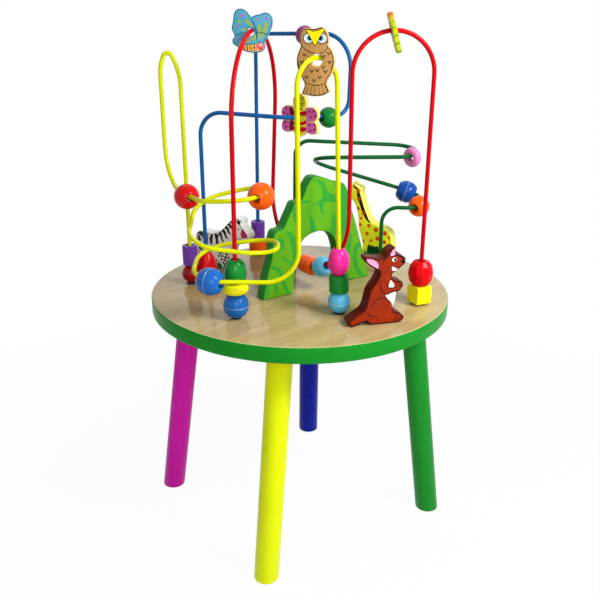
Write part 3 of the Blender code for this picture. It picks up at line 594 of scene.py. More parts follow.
def fine_bead(node, kind, key, *more):
    place, half, radius, bore, pts = axis_of(node)
    line = LINES[kind](radius, half, bore, *more)
    mesh = turn_line(node + "_turned", line, half, bore)
    mesh.materials.append(bead_finish(node, key))
    if kind == "grooved":
        # The groove is painted paler: partly thinner paint in the groove, partly a painted highlight
        # along it.
        worn_and_highlight = [c + (1 - c) * 0.14 for c in COLORS[key]]
        mesh.materials.append(lacquer(node + "_groove", worn_and_highlight, 0.1, 0.2, 0.3))
        for face in mesh.polygons:
            if abs(face.center.z) < GROOVE_HALF and face.center.to_2d().length > bore * 1.3:
                face.material_index = 1
    wear(add(node + "_turned", mesh, place), node)


for node, form in BEADS.items():
    fine_bead(node, *form)


def faceted_barrel():
    """The red barrel keeps its flat facets, with their edges eased."""
    mesh, bm = welded("barrel_red")
    bm.to_mesh(mesh)
    bm.free()
    mesh.shade_flat()
    mesh.materials.clear()
    mesh.materials.append(lacquer("barrel_red_lacquer", COLORS["red"], 0.05, 0.14, 0.1))
    obj = add("barrel_red_faceted", mesh)
    ease_edges(obj, 0.0006, 3, 8)
    wear(obj, "barrel_red")


faceted_barrel()


def rounded_cube():
    """The yellow cube bead: eased edges and a bore."""
    place, half, radius, bore, pts = axis_of("cube_yellow")
    side = half * 2
    inverse = place.to_3x3().inverted()
    corner = inverse @ Vector(max(pts.tolist(), key=lambda p: Vector(p).length))
    twist = math.atan2(corner.y, corner.x) - math.pi / 4
    place = place @ Matrix.Rotation(twist, 4, "Z")
    bm = bmesh.new()
    bmesh.ops.create_cube(bm, size=side)
    obj = add("cube_yellow_rounded", mesh_of(bm, "cube_yellow_rounded"), place)
    ease_edges(obj, 0.0011, 4)
    bm = bmesh.new()
    bmesh.ops.create_cone(bm, cap_ends=True, segments=40, radius1=bore, radius2=bore,
                          depth=side * 2)
    cut_away(obj, mesh_of(bm, "cube_bore"), place)
    smooth(obj.data, 30)
    obj.data.materials.append(lacquer("cube_yellow_lacquer", COLORS["lemon"], 0.06))
    wear(obj, "cube_yellow")


rounded_cube()

for name in NODES:
    if name.startswith("grommet_"):
        fine_grommet(name)


# Top, legs and fasteners

def rod(bm, start, end, radius, steps):
    axis = end - start
    turn = Vector((0, 0, 1)).rotation_difference(axis).to_matrix().to_4x4()
    bmesh.ops.create_cone(bm, cap_ends=True, segments=steps, radius1=radius, radius2=radius,
                          depth=axis.length, matrix=Matrix.Translation((start + end) / 2) @ turn)


def fine_top():
    """The top: laminate face, painted edge and bare underside."""
    r, h, e = TABLE_RADIUS, TOP_THICKNESS, TOP_EDGE_ROUND
    profile = [(r - e, 0.0)]
    for k in range(1, 6):
        a = math.radians(90 - 18 * k)
        profile.append((r - e + e * math.cos(a), e * math.sin(a) - e))
    for k in range(6):
        a = math.radians(-18 * k)
        profile.append((r - e + e * math.cos(a), e - h + e * math.sin(a)))
    bm = bmesh.new()
    turns = [2 * math.pi * s / TOP_STEPS for s in range(TOP_STEPS)]
    rings = [[bm.verts.new((radius * math.cos(a), radius * math.sin(a), TABLE_HEIGHT + z))
              for a in turns] for radius, z in profile]
    for n, (a, b) in enumerate(zip(rings, rings[1:])):
        for s in range(TOP_STEPS):
            face = bm.faces.new((a[s - 1], a[s], b[s], b[s - 1]))
            face.material_index = 3 if n < 2 else 1
    bm.faces.new(rings[0]).material_index = 0
    bm.faces.new(rings[-1]).material_index = 2
    bmesh.ops.recalc_face_normals(bm, faces=bm.faces[:])
    mesh = mesh_of(bm, "tabletop_dressed")
    smooth(mesh, 30)
    under = board("top_underside")
    edge = lacquer("edge_green", linear(24, 138, 38), 0.05, 0.3, 0.05, (1, 1, 1), 60.0)
    line = lacquer("top_line", linear(196, 190, 140), 0.03, 0.3, 0.1)
    for mat in (laminate("top_laminate"), edge, under, line):
        mesh.materials.append(mat)
    obj = add("tabletop_dressed", mesh)
    bm = bmesh.new()
    for name in NODES:
        if name.startswith("screw_"):
            low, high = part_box(name)
            at = (low + high) / 2
            rod(bm, Vector((at.x, at.y, TABLE_HEIGHT - h - 0.004)),
                Vector((at.x, at.y, low.z + RECESS_ROOM)), RECESS_RADIUS, 32)
    holes = mesh_of(bm, "screw_recesses")
    holes.materials.append(under)
    cut_away(obj, holes)
    wear(obj, "tabletop")


fine_top()

LEGS = (
    ("front", -98.4, -102.4, -0.0040, linear(222, 234, 2)),
    ("right", -8.2, -9.2, 0.0010, linear(22, 134, 38)),
    ("back", 84.1, 85.0, -0.0010, linear(4, 26, 158)),
    ("left", 172.9, 173.2, 0.0020, linear(210, 22, 170)),
)


def around(radius, degrees, z):
    a = math.radians(degrees)
    return Vector((radius * math.cos(a), radius * math.sin(a), z))


def fine_leg(name, top_angle, foot_angle, extra, color):
    under = TABLE_HEIGHT - TOP_THICKNESS
    top_radius = TABLE_RADIUS - LEG_TOP_INSET
    top = around(top_radius, top_angle, under)
    foot = around(top_radius + LEG_SPREAD + extra, foot_angle, 0.0)
    up = (top - foot).normalized()
    bm = bmesh.new()
    rod(bm, foot - up * LEG_RADIUS, top + up * LEG_RADIUS, LEG_RADIUS, 72)
    for height, way in ((0.0, -1.0), (under - FIT_GAP, 1.0)):
        whole = bm.verts[:] + bm.edges[:] + bm.faces[:]
        found = bmesh.ops.bisect_plane(bm, geom=whole, clear_outer=True,
                                       plane_co=(0, 0, height), plane_no=(0, 0, way))
        rim = [e for e in found["geom_cut"] if isinstance(e, bmesh.types.BMEdge)]
        bmesh.ops.contextual_create(bm, geom=rim)
    bmesh.ops.recalc_face_normals(bm, faces=bm.faces[:])
    bm.transform(Matrix.Translation(-foot))
    node = "leg_" + name
    obj = add(node + "_painted", mesh_of(bm, node + "_painted"), Matrix.Translation(foot))
    ease_edges(obj, LEG_END_ROUND, 4, 60)
    bake(obj)
    smooth(obj.data, 40)
    paint = lacquer(node + "_paint", color, 0.04, 0.28, 0.1, (1, 1, 12.0), 90.0)
    obj.data.materials.append(paint)
    wear(obj, node)


for leg in LEGS:
    fine_leg(*leg)

STEEL = steel("zinc_steel")
for name, node in NODES.items():
    if name.startswith(("screw_", "hanger_bolt_")):
        node.data.materials.clear()
        node.data.materials.append(STEEL)


# Flat figures

MOUNTAIN_OUTLINE = (
    (-2.5, 0), (3.5, 28), (11, 51), (11, 70), (15, 79), (25, 79.5),
    (37, 101), (41, 108.5), (50, 108.5), (58, 126), (65, 134.5), (73, 135),
    (85, 131), (97, 125), (110, 123), (115.5, 115), (119, 100), (130, 73),
    (142, 38), (154, 0), (119, 0), (106, 25), (102.5, 46), (98, 58.5),
    (90, 66.5), (77, 70.5), (64, 69), (54, 64.5), (46, 54), (41.5, 35),
    (38.8, 0),
)
KANGAROO_OUTLINE = (
    (0, 6), (3, 0), (6, 0), (20, 5.5), (25, 0), (58, 0), (62.5, 3), (62.5, 7),
    (57, 11), (50.5, 12.5), (49.5, 16.5), (52, 24), (53, 34.5), (58, 37),
    (60, 42), (58.5, 46), (50, 47.5), (46.5, 51.5), (46.5, 55.5), (53, 59),
    (61, 66), (61.5, 71), (56, 75), (49.5, 76), (48.7, 84), (45, 82.3),
    (41, 79.2), (39.2, 76.5), (38, 73.8), (34, 72.4), (26, 73.6), (17, 75),
    (17, 71), (22, 65), (31, 60), (33.5, 57),
    (30.5, 49), (23, 39), (20.3, 27), (18, 17.5), (8, 11.5),
)
GIRAFFE_OUTLINE = (
    (2, 0), (1.5, 27), (-1, 36), (-4.5, 45), (-5.3, 57), (-7.5, 69), (-11, 77.5),
    (-15, 82.5), (-20, 85), (-24, 89), (-22.5, 94.5), (-16.5, 98.5), (-14.8, 105.5),
    (-11.5, 101.3), (-6.5, 99.5), (-3.2, 96.8), (-4.4, 92.6), (-1.6, 85), (3.5, 71),
    (10.5, 57), (20, 52.2), (31, 50), (38, 45.5), (41.5, 38), (42.3, 30), (42, 0),
)
ZEBRA_OUTLINE = (
    (-41, 0), (-41, 27), (-44, 36), (-42, 43), (-36, 47), (-26, 45.5),
    (-13, 46.5), (-4, 50), (6, 60), (14, 68), (22, 71), (29, 68.5),
    (27, 63), (34, 56), (38.5, 51.5), (38, 45.5), (32, 43), (23, 44),
    (17, 38), (13.5, 30), (10, 17), (9, 0),
)
BUTTERFLY_OUTLINE = (
    (-20, 10), (-19.5, 16), (-16.5, 20.5), (-12, 21.5), (-7, 19.5),
    (-1.5, 13), (3, 15.5), (8, 16), (12, 18), (17, 17), (20.5, 12), (20, 5),
    (16, -4), (11.5, -10.5), (13, -15), (10.5, -19.5), (3, -21.5),
    (-7, -20.5), (-15, -16.5), (-21, -12.5), (-21.5, -9), (-18.5, -5),
    (-22, 2), (-21, 6),
)
OWL_OUTLINE = (
    (-11.5, 25.5), (-3, 24.5), (5, 26.5), (8, 25), (11.5, 19.5), (12.3, 14),
    (11, 10.5), (16, 5), (18.4, -3), (16.5, -13.5), (10, -23), (14, -31.5),
    (8, -35.5), (-3, -36.6), (-13.5, -34), (-10, -25.5), (-14, -19),
    (-18.5, -9), (-18.6, 0), (-14.5, 9.5), (-16.5, 15), (-15.5, 22),
)
BEE_OUTLINE = (
    (-5, 10), (-8.5, 14), (-9, 20), (-5.5, 25.5), (0, 27), (5.5, 25.5),
    (9, 20), (8.5, 14), (5, 10), (11, 13), (19, 13.5), (24.5, 9),
    (25, 3), (21, -2), (24.5, -7), (24, -14), (18, -16.5), (8, -14.5),
    (5, -18.5), (0, -20.5), (-5, -18.5), (-8, -14.5), (-18, -16.5),
    (-24, -14), (-24.5, -7), (-21, -2), (-25, 3), (-24.5, 9), (-19, 13.5),
    (-11, 13),
)
GRUB_SEGMENTS = ((7.5, 16), (10.5, 8.5), (12, 1), (11, -6.5), (8.5, -14))


def grub_outline():
    right = []
    for half, mid in GRUB_SEGMENTS:
        right += [(half - 2.2, mid + 4.2), (half, mid + 2.2), (half, mid - 2.2)]
    half, mid = GRUB_SEGMENTS[-1]
    right.append((half - 3.0, mid - 5.0))
    right[0] = (half - 4.0, GRUB_SEGMENTS[0][1] + 5.0)
    return right + [(-x, y) for x, y in reversed(right)]


def round_outline(outline, limit=75.0, share=0.42, sharp=0.5):
    """Turn the blunt corners of an outline into curves, in millimetres."""
    pts = [Vector(p) for p in outline]
    out = []
    for i, at in enumerate(pts):
        back = pts[i - 1] - at
        ahead = pts[(i + 1) % len(pts)] - at
        turn = 180 - math.degrees(back.angle(ahead))
        cut = min(back.length, ahead.length) * share
        if turn >= limit:
            cut = min(cut, sharp)
        a = at + back.normalized() * cut
        b = at + ahead.normalized() * cut
        count = 3 if turn < 14 or turn >= limit else 6
        for k in range(count + 1):
            t = k / count
            out.append(a * (1 - t) ** 2 + at * (2 * t * (1 - t)) + b * t ** 2)
    return out


def plate(name, loop, thickness, matrix, edge, hole=None):
    """A flat figure with rounded edges: slot 0 is the face, 1 the edge."""
    curve = bpy.data.curves.new(name, "CURVE")
    curve.dimensions = "2D"
    curve.fill_mode = "BOTH"
    curve.extrude = thickness / 2 - edge
    curve.bevel_depth = edge
    curve.offset = -edge
    curve.bevel_resolution = 2
    loops = [[(p.x * MM, p.y * MM) for p in loop]]
    if hole is not None:
        hx, hy, radius = hole
        turns = [math.radians(9 * k) for k in range(40)]
        loops.append([(hx * MM + radius * math.cos(a), hy * MM + radius * math.sin(a))
                      for a in turns])
    for pts in loops:
        spline = curve.splines.new("POLY")
        spline.points.add(len(pts) - 1)
        spline.use_cyclic_u = True
        for target, (x, y) in zip(spline.points, pts):
            target.co = (x, y, 0.0, 1.0)
    holder = add(name, curve, home=ROOT)
    mesh = fresh_mesh(holder)
    bpy.data.objects.remove(holder, do_unlink=True)
    bm = bmesh.new()
    bm.from_mesh(mesh)
    bmesh.ops.remove_doubles(bm, verts=bm.verts[:], dist=0.00001)
    bmesh.ops.recalc_face_normals(bm, faces=bm.faces[:])
    level = thickness / 2 - 0.00002
    for face in bm.faces:
        flat = all(abs(v.co.z) > level for v in face.verts)
        face.material_index = 0 if flat else 1
    bm.to_mesh(mesh)
    bm.free()
    mesh.name = name
    smooth(mesh, 35)
    return add(name, mesh, matrix)


def local_frame(node, side, up, low, thickness):
    """Where a CAD figure's own axes are, from its box along them."""
    side = Vector(side).normalized()
    up = Vector(up).normalized()
    normal = side.cross(up)
    pts = [v.co for v in NODES[node].data.vertices]
    a = min(p.dot(side) for p in pts) - low[0] * MM
    b = min(p.dot(up) for p in pts) - low[1] * MM
    c = min(p.dot(normal) for p in pts) + thickness / 2
    rot = Matrix((side, up, normal)).transposed().to_4x4()
    return Matrix.Translation(side * a + up * b + normal * c) @ rot


def closed_curve(pts, steps=6):
    """A smooth closed line through points, in millimetres."""
    pts = [Vector(p) for p in pts]
    n = len(pts)
    return [catmull(pts[i - 1], pts[i], pts[(i + 1) % n], pts[(i + 2) % n], k / steps)
            for i in range(n) for k in range(steps)]


def catmull(p0, p1, p2, p3, t):
    return 0.5 * ((2 * p1) + (p2 - p0) * t + (2 * p0 - 5 * p1 + 4 * p2 - p3) * t ** 2
                  + (3 * p1 - p0 - 3 * p2 + p3) * t ** 3)


def open_curve(pts, steps=6):
    pts = [Vector(p) for p in pts]
    if len(pts) == 2:
        return pts
    ends = [pts[0] * 2 - pts[1]] + pts + [pts[-1] * 2 - pts[-2]]
    return [catmull(*ends[i - 1:i + 3], k / steps)
            for i in range(1, len(ends) - 2) for k in range(steps)] + [pts[-1]]


class Dress:
    """A flat figure, and the colours printed on both of its faces, with painted shade on the bee's
    wings among them.
    """

    def __init__(self, node, outline, side, up, low, thickness, face, edge, hole=None,
                 rounding=0.0009, margin=0.9, clear=0.7):
        self.node = node
        self.clear = clear
        self.loop = round_outline(outline)
        self.margin = margin
        self.thickness = thickness
        self.matrix = local_frame(node, side, up, low, thickness)
        if hole is not None:
            inverse = self.matrix.inverted()
            center = Vector((hole[0] * MM, hole[1] * MM))
            radius = min(((inverse @ v.co).to_2d() - center).length
                         for v in NODES[node].data.vertices)
            hole = (*hole, radius)
        self.hole = hole
        body = plate(node + "_cut_out", self.loop, thickness, self.matrix, rounding, hole)
        body.data.materials.append(face)
        body.data.materials.append(edge)
        wear(body, node)
        self.sheets = {}
        self.layer = 0
        self.last_ink = None

    def keep_in(self, point, margin):
        """Move a point that lies outside the face back onto it."""
        inside = False
        best = None
        near = 1e9
        for a, b in zip(self.loop[-1:] + self.loop, self.loop):
            if (a.y > point.y) != (b.y > point.y):
                if point.x < (b.x - a.x) * (point.y - a.y) / (b.y - a.y) + a.x:
                    inside = not inside
            ab = b - a
            t = max(0.0, min(1.0, (point - a).dot(ab) / max(ab.length_squared, 1e-12)))
            q = a + ab * t
            d = (point - q).length
            if d < near:
                near = d
                best = q
        if inside and near >= margin:
            return point
        away = (point - best) if inside else (best - point)
        if away.length < 1e-6:
            return best
        return best + away.normalized() * margin

    def put(self, ink_name, pts, faces, margin=None):
        """Print a shape on both faces, as a thin closed layer of paint."""
        margin = self.margin if margin is None else margin
        pts = [self.keep_in(p, margin) for p in pts]
        if self.hole is not None:
            center = Vector(self.hole[:2])
            room = self.hole[2] / MM + self.clear
            for i, p in enumerate(pts):
                if (p - center).length < room:
                    pts[i] = center + (p - center).normalized() * room
        if ink_name not in self.sheets:
            self.sheets[ink_name] = bmesh.new()
        bm = self.sheets[ink_name]
        if ink_name != self.last_ink:
            self.layer += 1
            self.last_ink = ink_name
        top = self.thickness / 2 + PAINT_LIFT + PAINT_LAYER * self.layer
        low = self.thickness / 2 - PAINT_SUNK
        kept = []
        for face in faces:
            a, b, c = (pts[i] for i in face[:3])
            turn = (b - a).cross(c - a)
            if len(set(face)) >= 3 and abs(turn) > 1e-7:
                kept.append(tuple(face) if turn > 0 else tuple(reversed(face)))
        edges = {}
        for face in kept:
            for i, j in zip(face, face[1:] + face[:1]):
                edges[(i, j)] = edges.get((i, j), 0) + 1
        rims = [(i, j) for i, j in edges if (j, i) not in edges]
        for sign in (1, -1):
            upper = [bm.verts.new((p.x * MM, p.y * MM, top * sign)) for p in pts]
            lower = [bm.verts.new((p.x * MM, p.y * MM, low * sign)) for p in pts]
            for face in kept:
                bm.faces.new([upper[i] for i in face[::sign]])
                bm.faces.new([lower[i] for i in face[::-sign]])
            for i, j in rims:
                bm.faces.new((upper[j], upper[i], lower[i], lower[j])[::sign])
            for vert in upper + lower:
                if not vert.link_faces:
                    bm.verts.remove(vert)

    def blob(self, ink_name, pts, steps=6, margin=None, sharp=False):
        """Print a filled shape, round or with sharp corners."""
        loop = [Vector(p) for p in pts] if sharp else closed_curve(pts, steps)
        tris = tessellate_polygon([[p.to_3d() for p in loop]])
        self.put(ink_name, loop, tris, margin)

    def dot(self, ink_name, at, rx, ry=None, tilt=0.0, margin=None):
        """Print a round or oval dot."""
        ry = rx if ry is None else ry
        c, s = math.cos(math.radians(tilt)), math.sin(math.radians(tilt))
        loop = []
        for k in range(24):
            a = math.radians(15 * k)
            x, y = rx * math.cos(a), ry * math.sin(a)
            loop.append(Vector((at[0] + x * c - y * s, at[1] + x * s + y * c)))
        self.put(ink_name, loop, [tuple(range(24))], margin)

    def stroke(self, ink_name, pts, width=0.8, taper=0.35, closed=False, steps=6, margin=None):
        """Print a line through points, thinner towards its ends."""
        line = closed_curve(pts, steps) if closed else open_curve(pts, steps)
        n = len(line)
        left, right = [], []
        for i, p in enumerate(line):
            a = line[i - 1] if (closed or i > 0) else p
            b = line[(i + 1) % n] if (closed or i < n - 1) else p
            way = (b - a).normalized()
            off = Vector((-way.y, way.x)) * (width / 2)
            if not closed:
                end = min(i, n - 1 - i) / max(1, n - 1)
                off *= taper + (1 - taper) * min(1.0, end * 5)
            left.append(p + off)
            right.append(p - off)
        faces = []
        for i in range(n if closed else n - 1):
            j = (i + 1) % n
            faces.append((i, j, n + j, n + i))
        self.put(ink_name, left + right, faces, margin)

    def rim(self, ink_name, inset, width):
        """A printed line that follows the outline."""
        n = len(self.loop)
        area = sum(a.cross(b) for a, b in zip(self.loop, self.loop[1:] + self.loop[:1]))
        sign = 1.0 if area > 0 else -1.0
        outer, inner = [], []
        for i, p in enumerate(self.loop):
            way = self.loop[(i + 1) % n] - self.loop[i - 1]
            inward = Vector((-way.y, way.x)).normalized() * sign
            outer.append(p + inward * inset)
            inner.append(self.keep_in(p + inward * (inset + width), inset + width * 0.7))
        faces = [(i, (i + 1) % n, n + (i + 1) % n, n + i) for i in range(n)]
        self.put(ink_name, outer + inner, faces, inset * 0.8)

    def finish(self):
        """Turn each ink's layers into one piece that rides on the figure."""
        for ink_name, bm in self.sheets.items():
            name = self.node + "_paint_layer_" + ink_name
            bmesh.ops.recalc_face_normals(bm, faces=bm.faces[:])
            mesh = mesh_of(bm, name)
            mesh.materials.append(ink(ink_name))
            go_with(add(name, mesh, self.matrix), self.node)


def standing(node, outline, direction, low, face, edge, thickness=STANDING_THICKNESS):
    """A figure that stands on the top, its outline running along a direction."""
    return Dress(node, outline, (*direction, 0), (0, 0, 1), low, thickness, face, edge)


def sliding(node, outline, facing, rise, low, face, edge, hole, **more):
    """A figure that slides on a wire, facing a plan angle and a rise in degrees."""
    f, r = math.radians(facing), math.radians(rise)
    plan = Vector((math.cos(f), math.sin(f), 0))
    normal = plan * math.cos(r) + Vector((0, 0, math.sin(r)))
    side = Vector((-plan.y, plan.x, 0))
    return Dress(node, outline, side, normal.cross(side), low, SLIDING_THICKNESS, face, edge,
                 hole=hole, rounding=0.0008, margin=0.8, **more)


def dress_mountain():
    face = lacquer("mountain_face", linear(94, 168, 28), 0.08, 0.32, 0.1, (1, 1, 1), 42.0)
    edge = lacquer("mountain_edge", linear(40, 138, 44), 0.1, 0.34, 0.08)
    d = standing("mountain", MOUNTAIN_OUTLINE, (0.8165, 0.5773), (-2.5, 0), face, edge,
                 MOUNTAIN_THICKNESS)
    shapes = (
        ((65, 133), (72, 131), (80.8, 126.9), (87.6, 114.3), (96.8, 110.2), (97.9, 101.6), (84, 103.5),
        (80.5, 96), (82.6, 87.5), (76.7, 94.4), (74.1, 103.4), (66, 102), (57.3, 101), (67.6, 104.3),
        (76.4, 107.1), (79.3, 112), (77.5, 121), (71, 128)),
        ((57.3, 100.5), (62, 92), (67.1, 85), (69, 78), (71.5, 70.5), (63.5, 69), (62.5, 80),
        (60.5, 90)),
        ((95.9, 90), (99.4, 81.7), (99.5, 70), (98.3, 60), (93.1, 65.5), (93.2, 74), (93.9, 83)),
        ((97.2, 124.4), (109, 122.7), (116.3, 112), (119.5, 98), (118, 80), (116.2, 66.8), (113.2, 52),
        (109.5, 62), (107.3, 73.7), (106.5, 87), (104.8, 97.3), (101.5, 107), (99.3, 115)),
        ((29.3, 76.7), (36, 74), (40.3, 67.6), (42.7, 58), (42.7, 45), (42.1, 31.9), (39.5, 30.5),
        (34, 37), (27, 44), (21.6, 51.9), (27, 47), (33, 41.5), (38, 38.5), (38.5, 47), (36.5, 57),
        (33.2, 67.4)),
        ((6.2, 37.8), (10.5, 39.5), (15.4, 38), (20, 34.5), (23.5, 29), (24.7, 23.4), (21.5, 22),
        (19.5, 27), (15.9, 32), (10.7, 35.5)),
        ((9.1, 23), (13, 21), (16, 16.5), (17.4, 10), (16.8, 4.5), (14, 9), (12.2, 15)),
        ((22.5, 18.5), (27.8, 16.6), (30, 11), (33, 5), (36.5, 0.5), (31, 0.8), (27.5, 6), (25, 12)),
        ((128.5, 40.5), (132.5, 45.5), (138, 46.5), (142.4, 42.4), (137.5, 41.5), (134, 36),
        (133.5, 28), (135.5, 18), (140, 10), (148, 1), (141, 1), (134, 9), (129.5, 18), (127.2, 29)),
        ((38.5, 103), (42.5, 102.5), (45.5, 98.7), (44.8, 93.5), (41.5, 85), (39, 91), (37.4, 98)),
        ((64.4, 107.4), (57, 108.6), (47.8, 108), (50, 106.5), (57.3, 105.2)),
        ((3.5, 25), (6.5, 20), (5.8, 10), (3, 2), (0.5, 3), (1.5, 14)),
        ((117, 60), (121, 64), (124, 56), (123, 44), (119, 30), (116.5, 40), (117.5, 50)),
        ((108, 26), (112, 30), (114, 20), (118, 8), (121, 1), (117, 1), (112, 12)),
        ((14, 66), (18, 70), (24, 68), (27, 60), (23, 56), (20, 63)))
    for shape in shapes:
        d.blob("leaf_dark", shape)
    d.finish()


def dress_kangaroo():
    face = lacquer("kangaroo_face", linear(150, 40, 6), 0.1, 0.3, 0.12, (1, 1, 1), 70.0)
    edge = lacquer("kangaroo_edge", linear(92, 20, 2), 0.12, 0.34, 0.06)
    d = standing("kangaroo", KANGAROO_OUTLINE, (0.9594, 0.2822), (0, 0), face, edge)
    d.rim("black", 0.75, 0.85)
    for ear in (
            ((16.6, 73.8), (20.1, 73.6), (24.6, 72.7), (28.6, 70.1), (31.1, 66.7), (30.7, 62),
            (27, 63.9), (22.3, 66.8), (18.7, 70)),
            ((48.5, 83.2), (48.9, 78), (50.2, 74.8), (46.2, 74.6), (43.2, 75.2), (44.4, 79.8))):
        d.blob("pink", ear)
        d.stroke("black", ear, 0.55, closed=True)
    d.blob("white", ((46.5, 63.5), (49.9, 61.9), (52.3, 59.8), (50.8, 58.6), (47.5, 58.5), (46, 60.5)))
    d.stroke("black", ((45.2, 65.3), (47, 63.3), (50, 62), (53, 60)), 0.6)
    for x in (47.6, 49.2, 50.8):
        d.stroke("black", ((x, 63.2 - (x - 47.6) * 0.6), (x - 0.2, 58.9)), 0.45)
    d.blob("white", (
        (45.2, 48.6), (47.6, 46.2), (49.4, 43.2), (49.3, 40.9), (46.4, 40.6), (43.6, 41.1),
        (43.6, 43.5), (44.3, 45.9)))
    d.blob("white", (
        (52.4, 34.7), (52.1, 27.2), (50.6, 16.4), (47.3, 21.6), (43.7, 26.9), (40.6, 32), (43, 33.2),
        (46.8, 34.2)))
    d.dot("white", (48.2, 70.7), 2.6, 2.2)
    d.dot("black", (49, 70.6), 1.5, 1.7)
    d.stroke("black", ((45.3, 70.4), (46.6, 72.7), (49.4, 73.1), (51.3, 71)), 0.45)
    d.dot("black", (58.9, 68.4), 3.2, 2.7, 20, margin=0.75)
    d.dot("white", (59.8, 69.6), 0.6, 0.4, 20)
    lines = (
        ((45.7, 74.4), (49.9, 75), (55.2, 73), (58, 71.4)),
        ((39.2, 49.6), (35.5, 49.4), (33.7, 45.3), (34.7, 39.4), (38.2, 35.1), (42.3, 33.1),
        (46.8, 34.9), (52.1, 36.4), (57.4, 36.9)),
        ((39.5, 48.7), (41, 44.6), (43.6, 40.5), (48, 39.8), (53, 40.5)),
        ((53.2, 39.8), (54.4, 42.1), (58.2, 41.1)),
        ((52.5, 43.5), (55, 45.5), (58, 44.5)),
        ((26.5, 17.4), (26.9, 23.1), (31.3, 28.6), (37.2, 29.5), (43.3, 27), (47.5, 22.3),
        (50.5, 17.3)),
        ((21.3, 17), (22.1, 12.9), (25.6, 9.9), (32.2, 9.2)),
        ((22.4, 6.8), (26.4, 6.6)),
        ((56.2, 0.9), (57.4, 4.2), (61.4, 6)),
        ((51, 0.9), (52.5, 4.5), (56, 7.5)),
        ((33, 66), (37, 70.5), (41, 75), (45.4, 80.6)))
    for line in lines:
        d.stroke("black", line, 0.95)
    d.finish()


def dress_giraffe():
    face = lacquer("giraffe_face", linear(238, 250, 34), 0.05, 0.32, 0.1)
    edge = lacquer("giraffe_edge", linear(246, 250, 110), 0.05, 0.32, 0.1)
    d = standing("giraffe", GIRAFFE_OUTLINE, (0.8884, -0.4591), (-23.6, 0), face, edge)
    d.stroke("mane", ((-14, 102.4), (-11.4, 99.4), (-8.8, 97), (-6.4, 95)), 2.6, 0.7)
    back = (
        (-8.4, 92.3), (-5.8, 93), (-3.2, 88.9), (0.2, 82.1), (2.6, 75.2), (4.4, 70), (6.9, 63.9),
        (10.9, 55.9), (8.2, 56.2), (3.2, 61.8), (0.2, 67.2), (-1.8, 71.8), (-5, 80.1), (-7.4, 87.1))
    d.blob("mane", back, margin=0.6)
    d.stroke("mane", back, 0.9, closed=True, margin=0.6)
    grassy = (
        (-1, 1), (-0.5, 9), (0.8, 5), (2, 14), (3.4, 8), (5, 20), (7, 13), (9, 24), (11.4, 26),
        (13.5, 20), (16, 26.5), (19, 21), (22, 26), (24.1, 24.1), (25, 17), (28, 21), (30, 13),
        (33, 18), (35, 9), (38, 14), (40.5, 5), (41.2, 1))
    d.blob("grass", grassy, sharp=True)
    d.blob("grass", ((11, 24.9), (24.4, 23.6), (23.8, 14), (8.6, 14.3)), sharp=True)
    for x, h in ((3, 12), (8, 19), (13, 18), (19, 19), (26, 16), (32, 12), (37, 9)):
        d.stroke("grass_light", ((x, 1.5), (x + 0.6, h * 0.5), (x + 1.8, h)), 0.8, 0.2)
    for x, y, r in (
            (-7.2, 94.6, 2.4), (-6.3, 84.5, 2.2), (-6.8, 71.4, 2.5), (1.1, 66.1, 2.2),
            (-3.4, 50.7, 2.6), (9.4, 50.9, 2.4), (19.5, 46.5, 2.8), (7.6, 39.9, 2.4), (22, 35.2, 2.8),
            (31.9, 43.4, 2.8), (31.8, 31.8, 2.6), (1.9, 29.2, 2.2), (-1.5, 59.4, 1.8),
            (13.5, 31.4, 1.9), (37.4, 38.6, 1.8)):
        d.dot("spot", (x, y), r * 1.05)
    d.dot("white", (-16.2, 94.2), 1.7, 1.5)
    d.dot("black", (-16.6, 94), 0.85)
    d.stroke("black", ((-22.4, 89), (-20, 87.8), (-17.6, 88.2)), 0.5)
    d.dot("black", (-21.9, 91.6), 0.5, 0.4)
    for line in (
            ((-11.5, 97), (-13.5, 99.5), (-13.8, 102.5)),
            ((36.3, 42.2), (38.4, 38.7), (39, 32.9)),
            ((11.3, 29.5), (11.7, 26.5), (11.5, 24)),
            ((24.5, 30), (24.6, 27), (25.6, 22))):
        d.stroke("outline", line, 0.55)
    d.finish()


